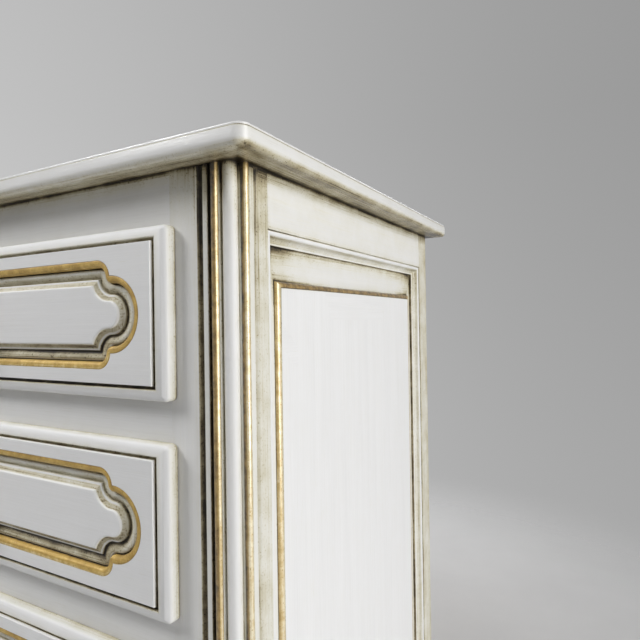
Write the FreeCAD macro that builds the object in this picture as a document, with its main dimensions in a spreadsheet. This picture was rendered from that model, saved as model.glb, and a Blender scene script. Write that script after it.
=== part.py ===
import FreeCAD, Part
import Sketcher
import math
import os

# A four drawer chest in painted wood with moulded and gilded trim.
# Millimetres. X is right, Y is back, Z is up. The origin is on the floor, under the
# middle of the box that the whole chest fills. Drawers are closed.

DRAWERS = 4

# Driving sizes: name, value, meaning
SIZES = [
    ("carcass_width", 1100.0, "width over the two side frames"),
    ("carcass_depth", 480.0, "front frame face to the back edge of the rear posts"),
    ("foot_height", 70.0, "floor to the base board"),
    ("base_thick", 24.0, "thickness of the base board"),
    ("base_over", 14.0, "base board beyond the carcass at the front and sides"),
    ("base_corner", 18.0, "plan rounding of the front corners of the base board"),
    ("base_edge", 9.0, "rounding of the upper edge of the base board"),
    ("slab_thick", 18.0, "thickness of the top"),
    ("slab_over_front", 27.0, "top beyond the front frame"),
    ("slab_over_side", 28.0, "top beyond the side frame"),
    ("slab_over_back", 13.0, "top beyond the rear posts"),
    ("slab_corner", 11.0, "plan rounding of the front corners of the top"),
    ("slab_arris", 5.0, "rounding of the lower edge of the top"),
    ("rim_height", 2.6, "height of the thin rim along the upper edge of the top"),
    ("rim_step", 0.8, "set back of that rim"),
    ("lip_height", 151.2, "height of a drawer front over its lip"),
    ("lip_gap", 36.4, "rail that shows between two drawer fronts"),
    ("lip_end_gap", 47.3, "rail that shows above the first and below the last front"),
    ("lip_cover", 6.4, "how far a drawer lip covers the frame"),
    ("lip_width", 14.0, "width of the moulding above and below the field of a drawer front"),
    ("lip_end_width", 16.4, "width of the moulding at both ends of the field"),
    ("lip_crest", 13.7, "highest point of that moulding in front of the frame"),
    ("lip_fall", 3.3, "fall of the moulding towards its outer edge"),
    ("lip_round", 4.5, "rounding of the outer edge of the lip"),
    ("lip_rest", 0.3, "gap between a closed lip and the frame"),
    ("field_proud", 14.9, "face of the drawer front in front of the frame"),
    ("quirk_width", 1.6, "width of the sunk line round the field"),
    ("quirk_deep", 2.5, "depth of that sunk line"),
    ("plug_thick", 12.0, "part of the drawer front that enters the opening"),
    ("plug_play", 1.5, "gap round that part"),
    ("recess_height", 99.3, "height of the shaped recess in a drawer front"),
    ("recess_deep", 7.0, "depth of the shaped recess"),
    ("recess_margin", 13.7, "field left between the recess and the end of the field"),
    ("ear_round", 17.0, "radius of the four corner ears of the recess"),
    ("lobe_round", 35.0, "radius of the round end of the recess"),
    ("cusp_shift", 0.9, "how far the cusp lies inside the centre of the round end"),
    ("gilt_width", 7.0, "width of the gilded moulding round the recess"),
    ("gilt_round", 5.0, "rounding of that moulding towards the recess"),
    ("gilt_play", 0.1, "gap between the gilded moulding and its seat"),
    ("isle_inset", 18.0, "edge of the recess to the foot of the raised panel"),
    ("isle_end_gap", 3.5, "further distance of the raised panel from the round ends"),
    ("isle_rise", 6.5, "height of the raised panel above the recess floor"),
    ("isle_bevel", 5.4, "bevel round the raised panel"),
    ("post_face", 72.0, "width of a front post on the front"),
    ("post_side", 44.6, "width of a front post on the side"),
    ("post_core", 40.0, "thickness of the post blocks across the chest"),
    ("frame_thick", 22.0, "thickness of the front rails and the post flange"),
    ("column_back", 12.1, "corner to the middle of the round column, across"),
    ("column_deep", 8.0, "centre of the column behind the front face"),
    ("column_round", 6.5, "radius of the column"),
    ("column_wall", 0.8, "front of the post left between the column and the bead's seat"),
    ("bead_round", 2.8, "radius of the gilded corner beads"),
    ("bead_play", 0.1, "gap between the side bead and the walls of its seat"),
    ("front_bead_gap", 0.9, "gap between the front bead and the near wall of its seat"),
    ("front_bead_deep", 1.1, "centre of the front bead behind the front face"),
    ("front_seat_deep", 3.2, "depth of the front bead's seat"),
    ("front_quirk", 3.7, "sunk line between the front bead and the fillet"),
    ("front_fillet", 5.5, "width of the front fillet"),
    ("front_groove", 4.2, "width of the floor of the front groove"),
    ("front_slope", 2.4, "width of the sloping far wall of the front groove"),
    ("groove_deep", 3.0, "depth of both grooves"),
    ("side_seat_deep", 3.7, "depth of the side bead's seat"),
    ("side_bead_deep", 1.3, "centre of the side bead inside the side face"),
    ("side_fillet", 6.0, "width of the side fillet"),
    ("side_groove", 4.6, "width of the floor of the side groove"),
    ("side_slope", 3.3, "width of the sloping far wall of the side groove"),
    ("side_thick", 26.0, "thickness of the side frame"),
    ("side_rail", 50.0, "height of the side rails"),
    ("rear_post", 32.3, "width of a rear post on the side"),
    ("tenon_long", 18.0, "length of the rail tenons"),
    ("tenon_thick", 8.0, "thickness of the rail tenons"),
    ("tenon_shoulder", 6.0, "shoulder above and below a tenon"),
    ("tenon_play", 0.15, "gap round a tenon"),
    ("panel_inset", 12.0, "margin of the side panel behind the frame face"),
    ("panel_thick", 8.0, "thickness of the side panel at its edges"),
    ("panel_tongue", 6.0, "how far the side panel enters the frame"),
    ("panel_play", 0.15, "gap round the side panel in its grooves"),
    ("stick_width", 12.3, "width of the moulding inside the side frame"),
    ("stick_foot", 3.8, "height of that moulding at the panel"),
    ("stick_land", 1.3, "width of its flat foot on the panel"),
    ("stick_cove", 4.6, "size of its hollow"),
    ("stick_bead", 3.6, "width of its bead"),
    ("stick_quirk", 1.0, "width of the sunk line along the frame"),
    ("stick_quirk_deep", 2.4, "depth of that sunk line"),
    ("stick_low", 0.6, "crown of the bead behind the frame face"),
    ("gilt_margin_side", 13.0, "moulding to the gilded frame, at the sides"),
    ("gilt_margin_end", 31.7, "moulding to the gilded frame, top and bottom"),
    ("gilt_frame", 5.8, "width of the gilded frame round the raised field"),
    ("raised", 4.4, "height of the raised field of the side panel"),
    ("gilt_frame_foot", 0.4, "plain edge under the rounding of the gilded frame"),
    ("back_thick", 6.0, "thickness of the back panel"),
    ("back_rebate", 12.0, "width of the rebate that takes the back panel"),
    ("runner_width", 52.0, "width of a drawer runner"),
    ("runner_thick", 18.0, "thickness of a drawer runner"),
    ("guide_height", 12.0, "height of the guide on a runner"),
    ("guide_play", 0.8, "gap between the guide and the drawer side"),
    ("box_clear", 2.0, "drawer side inside the edge of the opening"),
    ("box_side", 12.0, "thickness of the drawer sides and back"),
    ("box_top_gap", 21.3, "top of the drawer sides to the top of the opening"),
    ("box_back_gap", 34.0, "drawer back to the back panel"),
    ("box_play", 0.3, "gap between a drawer side and its runner"),
    ("back_drop", 8.0, "top of the drawer back below the top of the sides"),
    ("bottom_thick", 5.0, "thickness of the drawer bottom"),
    ("bottom_rise", 8.0, "lower edge of a drawer side to its bottom's groove"),
    ("bottom_tongue", 5.0, "how far the drawer bottom enters its grooves"),
    ("bottom_play", 0.15, "gap round the drawer bottom in its grooves"),
    ("knob_half_spread", 200.0, "middle of a drawer to each knob"),
    ("rose_round", 15.0, "radius of the rose under a knob"),
    ("rose_thick", 3.0, "thickness of that rose"),
    ("neck_round", 5.5, "radius of a knob's neck"),
    ("knob_round", 13.0, "radius of a knob's head"),
    ("knob_mid", 9.4, "front of a knob to its widest ring"),
    ("knob_taper", 10.4, "widest ring of a knob to its neck"),
    ("rose_edge", 1.4, "height of the plain edge of the rose"),
    ("rose_crown", 9.9, "radius of the flat crown of the rose"),
    ("neck_flare", 3.3, "length of the flare from the rose to the neck"),
    ("knob_reach", 30.0, "reach of a knob from the raised panel"),
    ("shank_round", 2.4, "radius of a knob's shank"),
    ("shank_long", 20.0, "length of a knob's shank"),
    ("shank_play", 0.2, "gap round the shank"),
    ("foot_inset", 46.0, "carcass edge to the middle of a foot"),
    ("foot_collar", 30.0, "radius of a foot's collar"),
    ("foot_collar_high", 8.0, "height of a foot's collar"),
    ("foot_neck", 20.0, "radius of a foot's neck"),
    ("foot_neck_drop", 16.0, "base board to the neck of a foot"),
    ("foot_belly", 33.0, "radius of a foot's belly"),
    ("foot_belly_high", 34.0, "floor to the belly of a foot"),
    ("foot_toe", 17.0, "radius of a foot at the floor"),
    ("foot_toe_high", 3.4, "height of the plain ring at the floor"),
    ("foot_collar_slope", 3.2, "height of the slope under a foot's collar"),
    ("dowel_round", 10.0, "radius of the dowel on a foot"),
    ("dowel_long", 16.0, "length of that dowel"),
    ("dowel_play", 0.2, "gap round that dowel"),
]

OVERCUT = 1.0

doc = FreeCAD.newDocument("ChestOfDrawers")
sheet = doc.addObject("Spreadsheet::Sheet", "Sizes")
for row, (name, value, meaning) in enumerate(SIZES, start=1):
    sheet.set(f"A{row}", meaning)
    sheet.set(f"B{row}", str(value))
    sheet.setAlias(f"B{row}", name)
doc.recompute()


class Size:
    """A length with the formula it comes from, so that features stay bound to the sheet."""

    def __init__(self, value, formula):
        self.value = value
        self.formula = formula

    def __add__(self, other):
        return Size(self.value + number(other), f"({self.formula} + {words(other)})")

    def __sub__(self, other):
        return Size(self.value - number(other), f"({self.formula} - {words(other)})")

    def __mul__(self, other):
        return Size(self.value * number(other), f"({self.formula} * {words(other)})")

    def __truediv__(self, other):
        return Size(self.value / number(other), f"({self.formula} / {words(other)})")

    def __neg__(self):
        return Size(-self.value, f"(0 - {self.formula})")

    def __radd__(self, other):
        return Size(number(other) + self.value, f"({words(other)} + {self.formula})")

    def __rsub__(self, other):
        return Size(number(other) - self.value, f"({words(other)} - {self.formula})")


def number(size):
    return size.value if isinstance(size, Size) else float(size)


def words(size):
    return size.formula if isinstance(size, Size) else f"{float(size):.6f}"


def root(size):
    return Size(math.sqrt(size.value), f"sqrt({size.formula})")


zero = Size(0.0, "0")


def bind(target, prop, size):
    target.setExpression(prop, words(size))


class Sizes:
    pass


s = Sizes()
for name, value, meaning in SIZES:
    setattr(s, name, Size(float(sheet.get(name)), f"Sizes.{name}"))

# Places that many pieces share
half_width = s.carcass_width / 2
isle_proud = s.field_proud - s.recess_deep + s.isle_rise
front = (isle_proud + s.knob_reach - s.carcass_depth - s.slab_over_back) / 2
rear = front + s.carcass_depth
base_top = s.foot_height + s.base_thick
carcass_height = s.lip_end_gap * 2 + s.lip_height * DRAWERS + s.lip_gap * (DRAWERS - 1)
carcass_top = base_top + carcass_height
lean = Size(math.sqrt(0.5), "sqrt(0.5)")
seat_near = s.column_back + s.column_round + s.column_wall
front_bead_back = seat_near + s.front_bead_gap + s.bead_round
fillet_near = front_bead_back + s.bead_round + s.front_quirk
groove_near = fillet_near + s.front_fillet
groove_foot = groove_near + s.front_groove
groove_far = groove_foot + s.front_slope
side_bead_back = s.column_deep + s.column_round * lean + s.bead_play + s.bead_round
side_seat_end = side_bead_back + s.bead_round + s.bead_play
side_fillet_end = side_seat_end + s.side_fillet
side_groove_foot = side_fillet_end + s.side_groove
side_groove_end = side_groove_foot + s.side_slope
half_open = half_width - s.post_face
open_half_height = s.lip_height / 2 - s.lip_cover
half_lip = half_open + s.lip_cover
half_field = half_lip - s.lip_end_width
box_out = half_open - s.box_clear
post_in = half_width - s.post_core
side_in = half_width - s.side_thick
panel_face = half_width - s.panel_inset
panel_front = front + s.post_side
panel_rear = rear - s.rear_post
panel_low = base_top + s.side_rail
panel_high = carcass_top - s.side_rail


def drawer_centre(index):
    """Height of the middle of a drawer front, counted from the top."""
    return carcass_top - s.lip_end_gap - s.lip_height / 2 - (s.lip_height + s.lip_gap) * index


finished = []


def finish(part, label):
    part.Label = label
    finished.append(part)
    return part


def block(name, x0, x1, y0, y1, z0, z1):
    """A straight board between two corners."""
    made = doc.addObject("Part::Box", name)
    bind(made, "Length", x1 - x0)
    bind(made, "Width", y1 - y0)
    bind(made, "Height", z1 - z0)
    bind(made, "Placement.Base.x", x0)
    bind(made, "Placement.Base.y", y0)
    bind(made, "Placement.Base.z", z0)
    return made


def side_block(name, side, x0, x1, y0, y1, z0, z1):
    """A board given for the right side, or its mirror image when side is -1."""
    if side > 0:
        return block(name, x0, x1, y0, y1, z0, z1)
    return block(name, -x1, -x0, y0, y1, z0, z1)


def fused(name, pieces):
    made = doc.addObject("Part::MultiFuse", name)
    made.Shapes = pieces
    return made


def grouped(name, pieces):
    made = doc.addObject("Part::Compound", name)
    made.Links = pieces
    return made


def cut(name, base, tools):
    made = doc.addObject("Part::Cut", name)
    made.Base = base
    made.Tool = tools[0] if len(tools) == 1 else fused(name + "_cutters", tools)
    return made


def new_body(name):
    return doc.addObject("PartDesign::Body", name)


def new_sketch(body, name, role, level):
    """A sketch on one of the body's own planes, moved along its normal by level."""
    plane = [f for f in body.Origin.OriginFeatures if f.Role == role][0]
    made = body.newObject("Sketcher::SketchObject", name)
    made.AttachmentSupport = (plane, "")
    made.MapMode = "FlatFace"
    bind(made, "AttachmentOffset.Base.z", level)
    return made


def flat(point):
    return FreeCAD.Vector(number(point[0]), number(point[1]), 0)


def name_constraint(sketch, constraint, name, size):
    index = sketch.addConstraint(constraint)
    sketch.renameConstraint(index, name)
    bind(sketch, "Constraints." + name, size)


def outline(sketch, start, steps):
    """Draws one closed outline. A step is (point,) for a straight edge or
    (point, radius, through) for an arc. Every corner and radius is bound."""
    points = [start] + [step[0] for step in steps]
    edges = []
    for index, step in enumerate(steps):
        begin = flat(points[index])
        end = flat(points[index + 1])
        if len(step) == 1:
            edges.append((sketch.addGeometry(Part.LineSegment(begin, end), False), 1, 2))
            continue
        edge = sketch.addGeometry(Part.Arc(begin, flat(step[2]), end), False)
        reversed_arc = sketch.getPoint(edge, 1).distanceToPoint(begin) > 1e-6
        edges.append((edge, 2, 1) if reversed_arc else (edge, 1, 2))
    for index, (edge, begin, end) in enumerate(edges):
        following = edges[(index + 1) % len(edges)]
        sketch.addConstraint(
            Sketcher.Constraint("Coincident", edge, end, following[0], following[1])
        )
        for axis, kind in enumerate(("DistanceX", "DistanceY")):
            size = points[index][axis]
            constraint = Sketcher.Constraint(kind, -1, 1, edge, begin, number(size))
            name_constraint(sketch, constraint, f"{'xy'[axis]}_{edge}", size)
        if len(steps[index]) > 1:
            constraint = Sketcher.Constraint("Radius", edge, number(steps[index][1]))
            name_constraint(sketch, constraint, f"radius_{edge}", steps[index][1])


def straight(points):
    """Steps for an outline of straight edges that comes back to its first point."""
    return [(point,) for point in points[1:]] + [(points[0],)]


def rectangle(sketch, x0, x1, y0, y1):
    corners = [(x0, y0), (x1, y0), (x1, y1), (x0, y1)]
    outline(sketch, corners[0], straight(corners))


def circle(sketch, x, y, radius):
    centre = FreeCAD.Vector(number(x), number(y), 0)
    normal = FreeCAD.Vector(0, 0, 1)
    edge = sketch.addGeometry(Part.Circle(centre, normal, number(radius)), False)
    across = Sketcher.Constraint("DistanceX", -1, 1, edge, 3, number(x))
    name_constraint(sketch, across, f"x_{edge}", x)
    along = Sketcher.Constraint("DistanceY", -1, 1, edge, 3, number(y))
    name_constraint(sketch, along, f"y_{edge}", y)
    size = Sketcher.Constraint("Radius", edge, number(radius))
    name_constraint(sketch, size, f"radius_{edge}", radius)


def pad(body, sketch, length, backwards=False):
    made = body.newObject("PartDesign::Pad", sketch.Name + "_pad")
    made.Profile = sketch
    bind(made, "Length", length)
    made.Reversed = backwards
    doc.recompute()
    return made


def pocket(body, sketch, length, backwards=False):
    """A pocket, checked to take material away."""
    before = body.Shape.Volume
    made = body.newObject("PartDesign::Pocket", sketch.Name + "_pocket")
    made.Profile = sketch
    bind(made, "Length", length)
    made.Reversed = backwards
    doc.recompute()
    if body.Shape.Volume > before - 1e-3:
        raise RuntimeError(f"{made.Name} cuts nothing")
    return made


def revolve(body, sketch):
    """A full turn about the vertical axis of the sketch."""
    made = body.newObject("PartDesign::Revolution", sketch.Name + "_turned")
    made.Profile = sketch
    made.ReferenceAxis = (sketch, ["V_Axis"])
    made.Angle = 360.0
    doc.recompute()
    return made


def dress(body, kind, feature, test, prop, size):
    """A fillet or chamfer on the edges of a feature that pass a test."""
    edges = [f"Edge{i}" for i, edge in enumerate(feature.Shape.Edges, start=1) if test(edge)]
    if not edges:
        raise RuntimeError(f"no edge found for the {kind} on {feature.Name}")
    made = body.newObject("PartDesign::" + kind, feature.Name + "_" + kind.lower())
    made.Base = (feature, edges)
    bind(made, prop, size)
    doc.recompute()
    return made


def level_edges(axis, level):
    """A test for edges that lie at one level."""

    def test(edge):
        low = getattr(edge.BoundBox, axis + "Min")
        high = getattr(edge.BoundBox, axis + "Max")
        return abs(low - number(level)) < 1e-4 and abs(high - number(level)) < 1e-4

    return test


def edges_ahead(level, y_rear):
    """A test for edges at one height that don't lie along the rear side."""
    at_level = level_edges("Z", level)
    return lambda edge: at_level(edge) and edge.BoundBox.YMin < number(y_rear) - 1e-3


# The shaped recess of a drawer front. Its right end is a round lobe between two ears.
# Moving inwards by an offset shrinks the ears and the lobe and rounds off the cusps.
recess_top = s.recess_height / 2
lobe_x = half_field - s.recess_margin - s.lobe_round
cusp_z = root(s.lobe_round * s.lobe_round - s.cusp_shift * s.cusp_shift)
ear_z = recess_top - s.ear_round
ear_rise = cusp_z - ear_z
ear_run = root(s.ear_round * s.ear_round - ear_rise * ear_rise)


def towards(start, end, whole, part):
    """The point at distance part from start, on a line of length whole to end."""
    x = start[0] + (end[0] - start[0]) * part / whole
    z = start[1] + (end[1] - start[1]) * part / whole
    return (x, z)


def on_circle(centre, radius, degrees):
    """A plain point on a circle, to tell an arc which way to bulge."""
    turn = math.radians(degrees)
    x = number(centre[0]) + number(radius) * math.cos(turn)
    z = number(centre[1]) + number(radius) * math.sin(turn)
    return (x, z)


def middle_angle(centre, first, second):
    """The direction, in degrees, of the short way between two points of a circle."""
    x = (number(first[0]) + number(second[0])) / 2 - number(centre[0])
    z = (number(first[1]) + number(second[1])) / 2 - number(centre[1])
    return math.degrees(math.atan2(z, x))


def upper_right_steps(offset, sharp, end_x):
    """Start of the ear on the top edge, the steps from there to the round end, and the
    radius of that end. Sharp leaves out what remains of the ear."""
    cusp_x = end_x - s.cusp_shift
    ear_x = cusp_x - ear_run
    cusp = (cusp_x, cusp_z)
    lobe = (end_x, zero)
    ear = (ear_x, ear_z)
    if offset is None:
        angle = middle_angle(ear, (ear_x, recess_top), cusp)
        first = (ear_x, recess_top)
        return first, [(cusp, s.ear_round, on_circle(ear, s.ear_round, angle))], s.lobe_round
    top = recess_top - offset
    to_lobe = towards(cusp, lobe, s.lobe_round, offset)
    if not sharp:
        radius = s.ear_round - offset
        first = (ear_x, top)
        to_ear = towards(cusp, ear, s.ear_round, offset)
        angle = middle_angle(ear, first, to_ear)
        bend = middle_angle(cusp, to_ear, to_lobe)
        steps = [
            (to_ear, radius, on_circle(ear, radius, angle)),
            (to_lobe, offset, on_circle(cusp, offset, bend)),
        ]
        return first, steps, s.lobe_round - offset
    drop = cusp_z - top
    first = (cusp_x - root(offset * offset - drop * drop), top)
    bend = middle_angle(cusp, first, to_lobe)
    return first, [(to_lobe, offset, on_circle(cusp, offset, bend))], s.lobe_round - offset


def flipped(point, x_sign, z_sign):
    x = point[0] if x_sign > 0 else -point[0]
    z = point[1] if z_sign > 0 else -point[1]
    return (x, z)


def flip_step(start, step, x_sign, z_sign):
    """The same edge run the other way, mirrored."""
    if len(step) == 1:
        return (flipped(start, x_sign, z_sign),)
    return (flipped(start, x_sign, z_sign), step[1], flipped(step[2], x_sign, z_sign))


def mirror_run(first, steps, x_sign, z_sign, backwards):
    """A run of steps, mirrored, and in reverse order when it has to go back."""
    if not backwards:
        return flipped(first, x_sign, z_sign), [
            (flipped(st[0], x_sign, z_sign), st[1], flipped(st[2], x_sign, z_sign))
            for st in steps
        ]
    points = [first] + [st[0] for st in steps]
    run = []
    for index in range(len(steps) - 1, -1, -1):
        run.append(flip_step(points[index], steps[index], x_sign, z_sign))
    return flipped(points[-1], x_sign, z_sign), run


def recess_outline(sketch, offset=None, sharp=False, end_x=lobe_x):
    """The whole outline of the recess, or of a line inside it at an offset. Its round
    ends lie about end_x."""
    first, steps, lobe = upper_right_steps(offset, sharp, end_x)
    tip = (end_x + lobe, zero)
    right = (end_x, zero)
    left = flipped(right, -1, 1)
    right_low, down = mirror_run(first, steps, 1, -1, True)
    left_start, left_down = mirror_run(first, steps, -1, -1, False)
    left_low, left_up = mirror_run(first, steps, -1, 1, True)
    run = list(steps)
    run.append((tip, lobe, on_circle(right, lobe, 45.0)))
    run.append((right_low, lobe, on_circle(right, lobe, -45.0)))
    run += down
    run.append((left_start,))
    run += left_down
    run.append((flipped(tip, -1, 1), lobe, on_circle(left, lobe, -135.0)))
    run.append((left_low, lobe, on_circle(left, lobe, 135.0)))
    run += left_up
    run.append((first,))
    outline(sketch, first, run)


def drawer_front(label, drop):
    """Drawer front: lip with mitred moulding, field, shaped recess and raised panel."""
    body = new_body(label + "_body")
    lip_edge = s.lip_crest - s.lip_fall
    lip_half_height = s.lip_height / 2
    field_half_height = lip_half_height - s.lip_width

    board = new_sketch(body, label + "_lip", "XZ_Plane", s.lip_rest - front)
    rectangle(board, -half_lip, half_lip, -lip_half_height, lip_half_height)
    pad(body, board, lip_edge - s.lip_rest)

    slope = body.newObject("PartDesign::AdditiveWedge", label + "_slope")
    bind(slope, "Ymin", front - s.lip_crest)
    bind(slope, "Ymax", front - lip_edge)
    for prop, half in (("X", half_field), ("Z", field_half_height)):
        bind(slope, prop + "min", -half)
        bind(slope, prop + "max", half)
    for prop, half in (("X2", half_lip), ("Z2", lip_half_height)):
        bind(slope, prop + "min", -half)
        bind(slope, prop + "max", half)
    doc.recompute()
    dress(body, "Fillet", slope, level_edges("Y", front - lip_edge), "Radius", s.lip_round)

    face = new_sketch(body, label + "_field", "XZ_Plane", lip_edge - front)
    rectangle(face, -half_field, half_field, -field_half_height, field_half_height)
    pad(body, face, s.field_proud - lip_edge)

    line = new_sketch(body, label + "_quirk", "XZ_Plane", s.lip_crest - front)
    out_x = half_field + s.quirk_width
    out_z = field_half_height + s.quirk_width
    rectangle(line, -out_x, out_x, -out_z, out_z)
    rectangle(line, -half_field, half_field, -field_half_height, field_half_height)
    pocket(body, line, s.quirk_deep)

    plug = new_sketch(body, label + "_plug", "XZ_Plane", s.lip_rest - front)
    plug_x = half_open - s.plug_play
    plug_z = open_half_height - s.plug_play
    rectangle(plug, -plug_x, plug_x, -plug_z, plug_z)
    pad(body, plug, s.plug_thick + s.lip_rest, backwards=True)

    recess = new_sketch(body, label + "_recess", "XZ_Plane", s.field_proud - front)
    recess_outline(recess)
    pocket(body, recess, s.recess_deep)

    isle = new_sketch(body, label + "_isle", "XZ_Plane", s.field_proud - s.recess_deep - front)
    recess_outline(isle, s.isle_inset, sharp=True, end_x=lobe_x - s.isle_end_gap)
    raised = pad(body, isle, s.isle_rise)
    isle_edge = level_edges("Y", front - isle_proud)
    dress(body, "Chamfer", raised, isle_edge, "Size", s.isle_bevel)

    holes = new_sketch(body, label + "_shank_holes", "XZ_Plane", isle_proud - front)
    for side in (-1, 1):
        circle(holes, s.knob_half_spread * side, zero, s.shank_round + s.shank_play)
    pocket(body, holes, s.shank_long + s.shank_play)

    groove = new_sketch(body, label + "_bottom_groove", "XZ_Plane", -(front + s.plug_thick))
    groove_low = box_low + s.bottom_rise - s.bottom_play
    groove_high = groove_low + s.bottom_thick + s.bottom_play * 2
    groove_x = box_out - s.box_side + s.bottom_tongue
    rectangle(groove, -groove_x, groove_x, groove_low, groove_high)
    pocket(body, groove, s.bottom_tongue, backwards=True)

    bind(body, "Placement.Base.z", drop)
    return finish(body, label + "_front")


def gilt_recess_moulding(label, drop):
    """Gilded moulding round the recess, quarter round towards the middle."""
    body = new_body(label + "_gilt_body")
    ring = new_sketch(body, label + "_gilt", "XZ_Plane", s.field_proud - s.recess_deep - front)
    recess_outline(ring, s.gilt_play)
    recess_outline(ring, s.gilt_width)
    solid = pad(body, ring, s.recess_deep)
    inner_x = number(lobe_x + s.lobe_round - s.gilt_width) + 1e-3
    inner_z = number(recess_top - s.gilt_width) + 1e-3

    def inner(edge):
        box = edge.BoundBox
        return max(-box.XMin, box.XMax) < inner_x and max(-box.ZMin, box.ZMax) < inner_z

    def outer_cusp(edge):
        return abs(getattr(edge.Curve, "Radius", 0.0) - number(s.gilt_play)) < 1e-6

    at_face = level_edges("Y", front - s.field_proud)
    dress(
        body,
        "Fillet",
        solid,
        lambda edge: at_face(edge) and inner(edge) and not outer_cusp(edge),
        "Radius",
        s.gilt_round,
    )
    bind(body, "Placement.Base.z", drop)
    return finish(body, label + "_gilt_moulding")


# Heights inside a drawer, from the middle of its front
box_low = s.box_play - open_half_height
box_high = open_half_height - s.box_top_gap
bottom_low = box_low + s.bottom_rise
bottom_high = bottom_low + s.bottom_thick
box_front = front + s.plug_thick
box_rear = rear - s.back_thick - s.box_back_gap


def drawer_side(label, side, drop):
    """Side board with the groove for the bottom."""
    name = label + ("_side_right" if side > 0 else "_side_left")
    inner = box_out - s.box_side
    board = side_block(name + "_board", side, inner, box_out, box_front, box_rear, box_low, box_high)
    groove = side_block(
        name + "_groove",
        side,
        inner - OVERCUT,
        inner + s.bottom_tongue,
        box_front - OVERCUT,
        box_rear + OVERCUT,
        bottom_low - s.bottom_play,
        bottom_high + s.bottom_play,
    )
    made = cut(name, board, [groove])
    bind(made, "Placement.Base.z", drop)
    return finish(made, name)


def drawer_back(label, drop):
    """Back board between the sides, standing on the bottom."""
    inner = box_out - s.box_side
    made = block(
        label + "_back",
        -inner,
        inner,
        box_rear - s.box_side,
        box_rear,
        drop + bottom_high,
        drop + box_high - s.back_drop,
    )
    return finish(made, label + "_back")


def drawer_bottom(label, drop):
    """Thin bottom in the grooves of the front and the sides."""
    reach = s.bottom_tongue - s.bottom_play
    inner = box_out - s.box_side + reach
    made = block(
        label + "_bottom",
        -inner,
        inner,
        box_front - reach,
        box_rear,
        drop + bottom_low,
        drop + bottom_high,
    )
    return finish(made, label + "_bottom")


def knob(name, side):
    """Turned knob with its rose and screwed shank, along the Y axis."""
    body = new_body(name)
    profile = new_sketch(body, name + "_profile", "XY_Plane", zero)
    # Across the sketch is the radius, up the sketch runs back along Y.
    tip = -s.knob_reach
    head_mid = tip + s.knob_mid
    points = [
        (zero, s.shank_long),
        (s.shank_round, s.shank_long),
        (s.shank_round, zero),
        (s.rose_round, zero),
        (s.rose_round, -s.rose_edge),
        (s.rose_crown, -s.rose_thick),
        (s.neck_round, -s.rose_thick - s.neck_flare),
        (s.neck_round, head_mid + s.knob_taper),
        (s.knob_round, head_mid),
    ]
    start = points[0]
    steps = [(point,) for point in points[1:]]
    dome = (s.knob_round * s.knob_round + s.knob_mid * s.knob_mid) / (s.knob_mid * 2)
    through = on_circle((zero, tip + dome), dome, -60.0)
    steps.append(((zero, tip), dome, through))
    steps.append((start,))
    outline(profile, start, steps)
    revolve(body, profile)
    bind(body, "Placement.Base.x", s.knob_half_spread * side)
    bind(body, "Placement.Base.y", front - isle_proud)
    return body


def drawer_knobs(label, drop):
    made = grouped(label + "_knobs", [knob(label + "_knob_left", -1), knob(label + "_knob_right", 1)])
    bind(made, "Placement.Base.z", drop)
    return finish(made, label + "_knobs")


def drawer(index):
    label = f"drawer_{index + 1}"
    drop = drawer_centre(index)
    drawer_front(label, drop)
    gilt_recess_moulding(label, drop)
    for side in (-1, 1):
        drawer_side(label, side, drop)
    drawer_back(label, drop)
    drawer_bottom(label, drop)
    drawer_knobs(label, drop)


def side_name(side):
    return "right" if side > 0 else "left"


def mirrored(points, side):
    return [(x if side > 0 else -x, y) for x, y in points]


def board_outline(sketch, over_side, over_front, y_rear, corner):
    """Plan of the top or base board: rounded front corners, square rear corners."""
    x_out = half_width + over_side
    y_front = front - over_front
    steps = []
    steps.append(((x_out - corner, y_front),))
    right_centre = (x_out - corner, y_front + corner)
    steps.append(((x_out, y_front + corner), corner, on_circle(right_centre, corner, -45.0)))
    steps.append(((x_out, y_rear),))
    steps.append(((-x_out, y_rear),))
    steps.append(((-x_out, y_front + corner),))
    left_centre = (corner - x_out, y_front + corner)
    start = (corner - x_out, y_front)
    steps.append((start, corner, on_circle(left_centre, corner, -135.0)))
    outline(sketch, start, steps)


def top_slab():
    """Top with a rounded lower edge and a thin rim set back along its upper edge."""
    body = new_body("top_slab_body")
    y_rear = rear + s.slab_over_back
    plan = new_sketch(body, "top_slab_plan", "XY_Plane", carcass_top)
    board_outline(plan, s.slab_over_side, s.slab_over_front, y_rear, s.slab_corner)
    main = pad(body, plan, s.slab_thick - s.rim_height)
    dress(body, "Fillet", main, edges_ahead(carcass_top, y_rear), "Radius", s.slab_arris)
    rim = new_sketch(body, "top_slab_rim", "XY_Plane", carcass_top + s.slab_thick - s.rim_height)
    board_outline(
        rim,
        s.slab_over_side - s.rim_step,
        s.slab_over_front - s.rim_step,
        y_rear,
        s.slab_corner - s.rim_step,
    )
    pad(body, rim, s.rim_height)
    return finish(body, "top_slab")


def foot_places():
    x = half_width - s.foot_inset
    return [
        ("front_left", -x, front + s.foot_inset),
        ("front_right", x, front + s.foot_inset),
        ("rear_left", -x, rear - s.foot_inset),
        ("rear_right", x, rear - s.foot_inset),
    ]


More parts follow.
